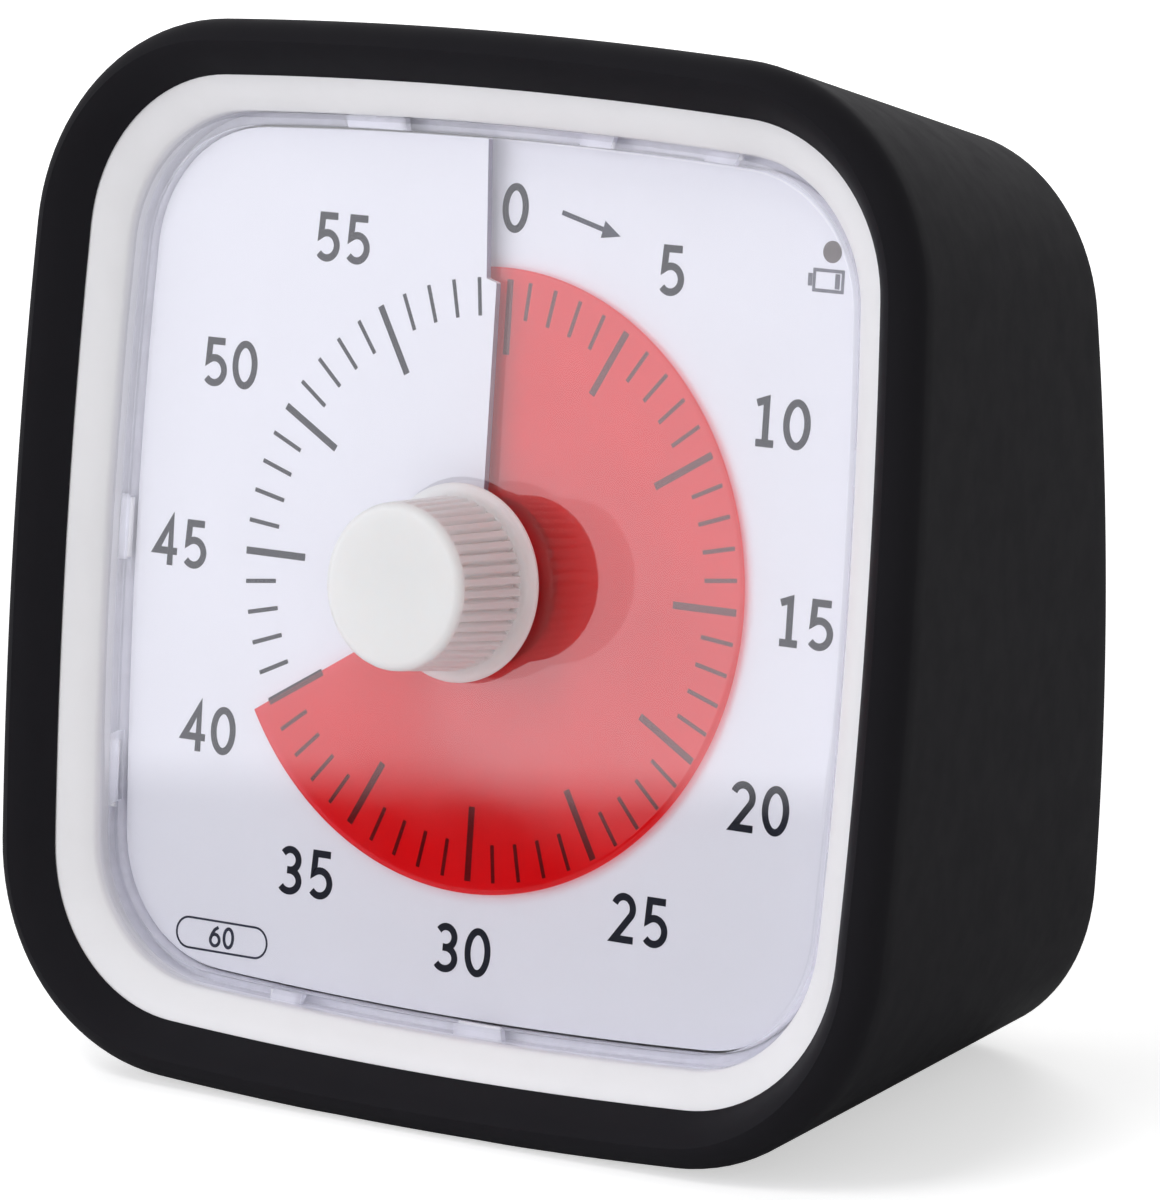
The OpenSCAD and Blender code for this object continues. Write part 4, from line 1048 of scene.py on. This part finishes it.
def make_floor():
    """Pale floor that shows white to the camera but for the shadow near the object, where its
    camera-only glow is also weaker: painted shade around the object.
    """
    nodes = plain("floor", (12, 12), (0, 0, -0.0002))[1]
    body = nodes.add("ShaderNodeBsdfDiffuse", Color=(0.93, 0.93, 0.93, 1))
    away = nodes.tree.nodes.new("ShaderNodeVectorMath")
    away.operation = "LENGTH"
    nodes.set(away, 0, nodes.at)
    # Camera-only glow, weaker near the object than far away: painted shade around the object on top
    # of its real shadow
    white = nodes.span(away.outputs["Value"], 0.55, 0.75, 0.2, 1.2)
    seen = nodes.add("ShaderNodeLightPath").outputs["Is Camera Ray"]
    strength = nodes.calc("MULTIPLY", seen, white)
    glow = nodes.add("ShaderNodeEmission", Color=(1, 1, 1, 1), Strength=strength)
    both = nodes.add("ShaderNodeAddShader")
    nodes.set(both, 0, body.outputs[0])
    nodes.set(both, 1, glow.outputs[0])
    nodes.shows(both.outputs[0])


def make_cards():
    """What the lens reflects: a softbox to the front left, and a dark card on the table."""
    box, nodes = plain("softbox", (0.85, 0.72), (-0.62, -0.78, 0.36), (0.79, -0.61, 0.1),
                       (0, 0, 1))
    uv = nodes.add("ShaderNodeTexCoord").outputs["UV"]
    height = nodes.add("ShaderNodeSeparateXYZ", Vector=uv).outputs["Y"]
    fade = nodes.span(height, 0.0, 2.5, 0.0, 0.0135)
    cloth = nodes.add("ShaderNodeEmission", Color=(0.94, 0.94, 1.0, 1), Strength=fade)
    nodes.shows(cloth.outputs[0])
    box.visible_camera = False

    card, nodes = plain("dark_card", (2.6, 2.2), (-0.9, -1.25, 0.0003))
    nodes.shows(nodes.add("ShaderNodeBsdfDiffuse", Color=(0.012, 0.012, 0.014, 1)).outputs[0])
    card.visible_camera = card.visible_diffuse = card.visible_shadow = False
    card.visible_transmission = False


def make_world():
    world = bpy.data.worlds.new("studio")
    bpy.context.scene.world = world
    nodes = Nodes(world, "ShaderNodeOutputWorld")
    path = nodes.add("ShaderNodeLightPath").outputs
    seen = nodes.calc("MAXIMUM", path["Is Camera Ray"], path["Is Glossy Ray"])
    seen = nodes.calc("MAXIMUM", seen, path["Is Transmission Ray"])
    level = nodes.span(seen, AMBIENT, 1.0, 0.0, 1.0)
    back = nodes.add("ShaderNodeBackground", Color=(1, 1, 1, 1), Strength=level)
    nodes.shows(back.outputs[0])


def lamp(name, place, target, size, power):
    """Area lamp that only lights: neither the camera nor a reflection shows it."""
    data = bpy.data.lights.new(name, "AREA")
    data.shape = "DISK"
    data.size = size
    data.energy = power
    obj = bpy.data.objects.new(name, data)
    bpy.context.scene.collection.objects.link(obj)
    obj.location = place
    obj.rotation_euler = (Vector(target) - Vector(place)).to_track_quat("-Z", "Y").to_euler()
    obj.visible_camera = obj.visible_glossy = False


def make_lamps():
    middle = (0, 0, 0.045)
    lamp("key_lamp", (-0.1, -0.7, 1.2), middle, 0.5, 3.6)
    lamp("left_lamp", (-0.85, -0.75, 0.4), middle, 0.5, 4.6)
    lamp("right_lamp", (0.9, -1.0, 0.45), middle, 0.6, 2.1)
    lamp("table_bounce", (0.02, -0.19, 0.004), (0, 0, 0.03), 0.14, 0.05)
    lamp("back_lamp", (-0.5, 1.1, 0.8), middle, 0.7, 6.5)


def make_camera():
    cam = bpy.data.cameras.new("camera")
    cam.sensor_width = SENSOR
    cam.lens = FOCAL_PIXELS * SENSOR / FRAME_HIGH
    cam.clip_start = 0.01
    cam.clip_end = 20
    obj = bpy.data.objects.new("camera", cam)
    bpy.context.scene.collection.objects.link(obj)
    axes = Matrix((turn(CAMERA_RIGHT), -turn(CAMERA_DOWN), -turn(CAMERA_AHEAD))).transposed()
    obj.matrix_world = Matrix.Translation(stand(*CAMERA_AT)) @ axes.to_4x4()
    bpy.context.scene.camera = obj


make_floor()
make_cards()
make_world()
make_lamps()
make_camera()
bpy.context.scene.view_settings.view_transform = "Standard"
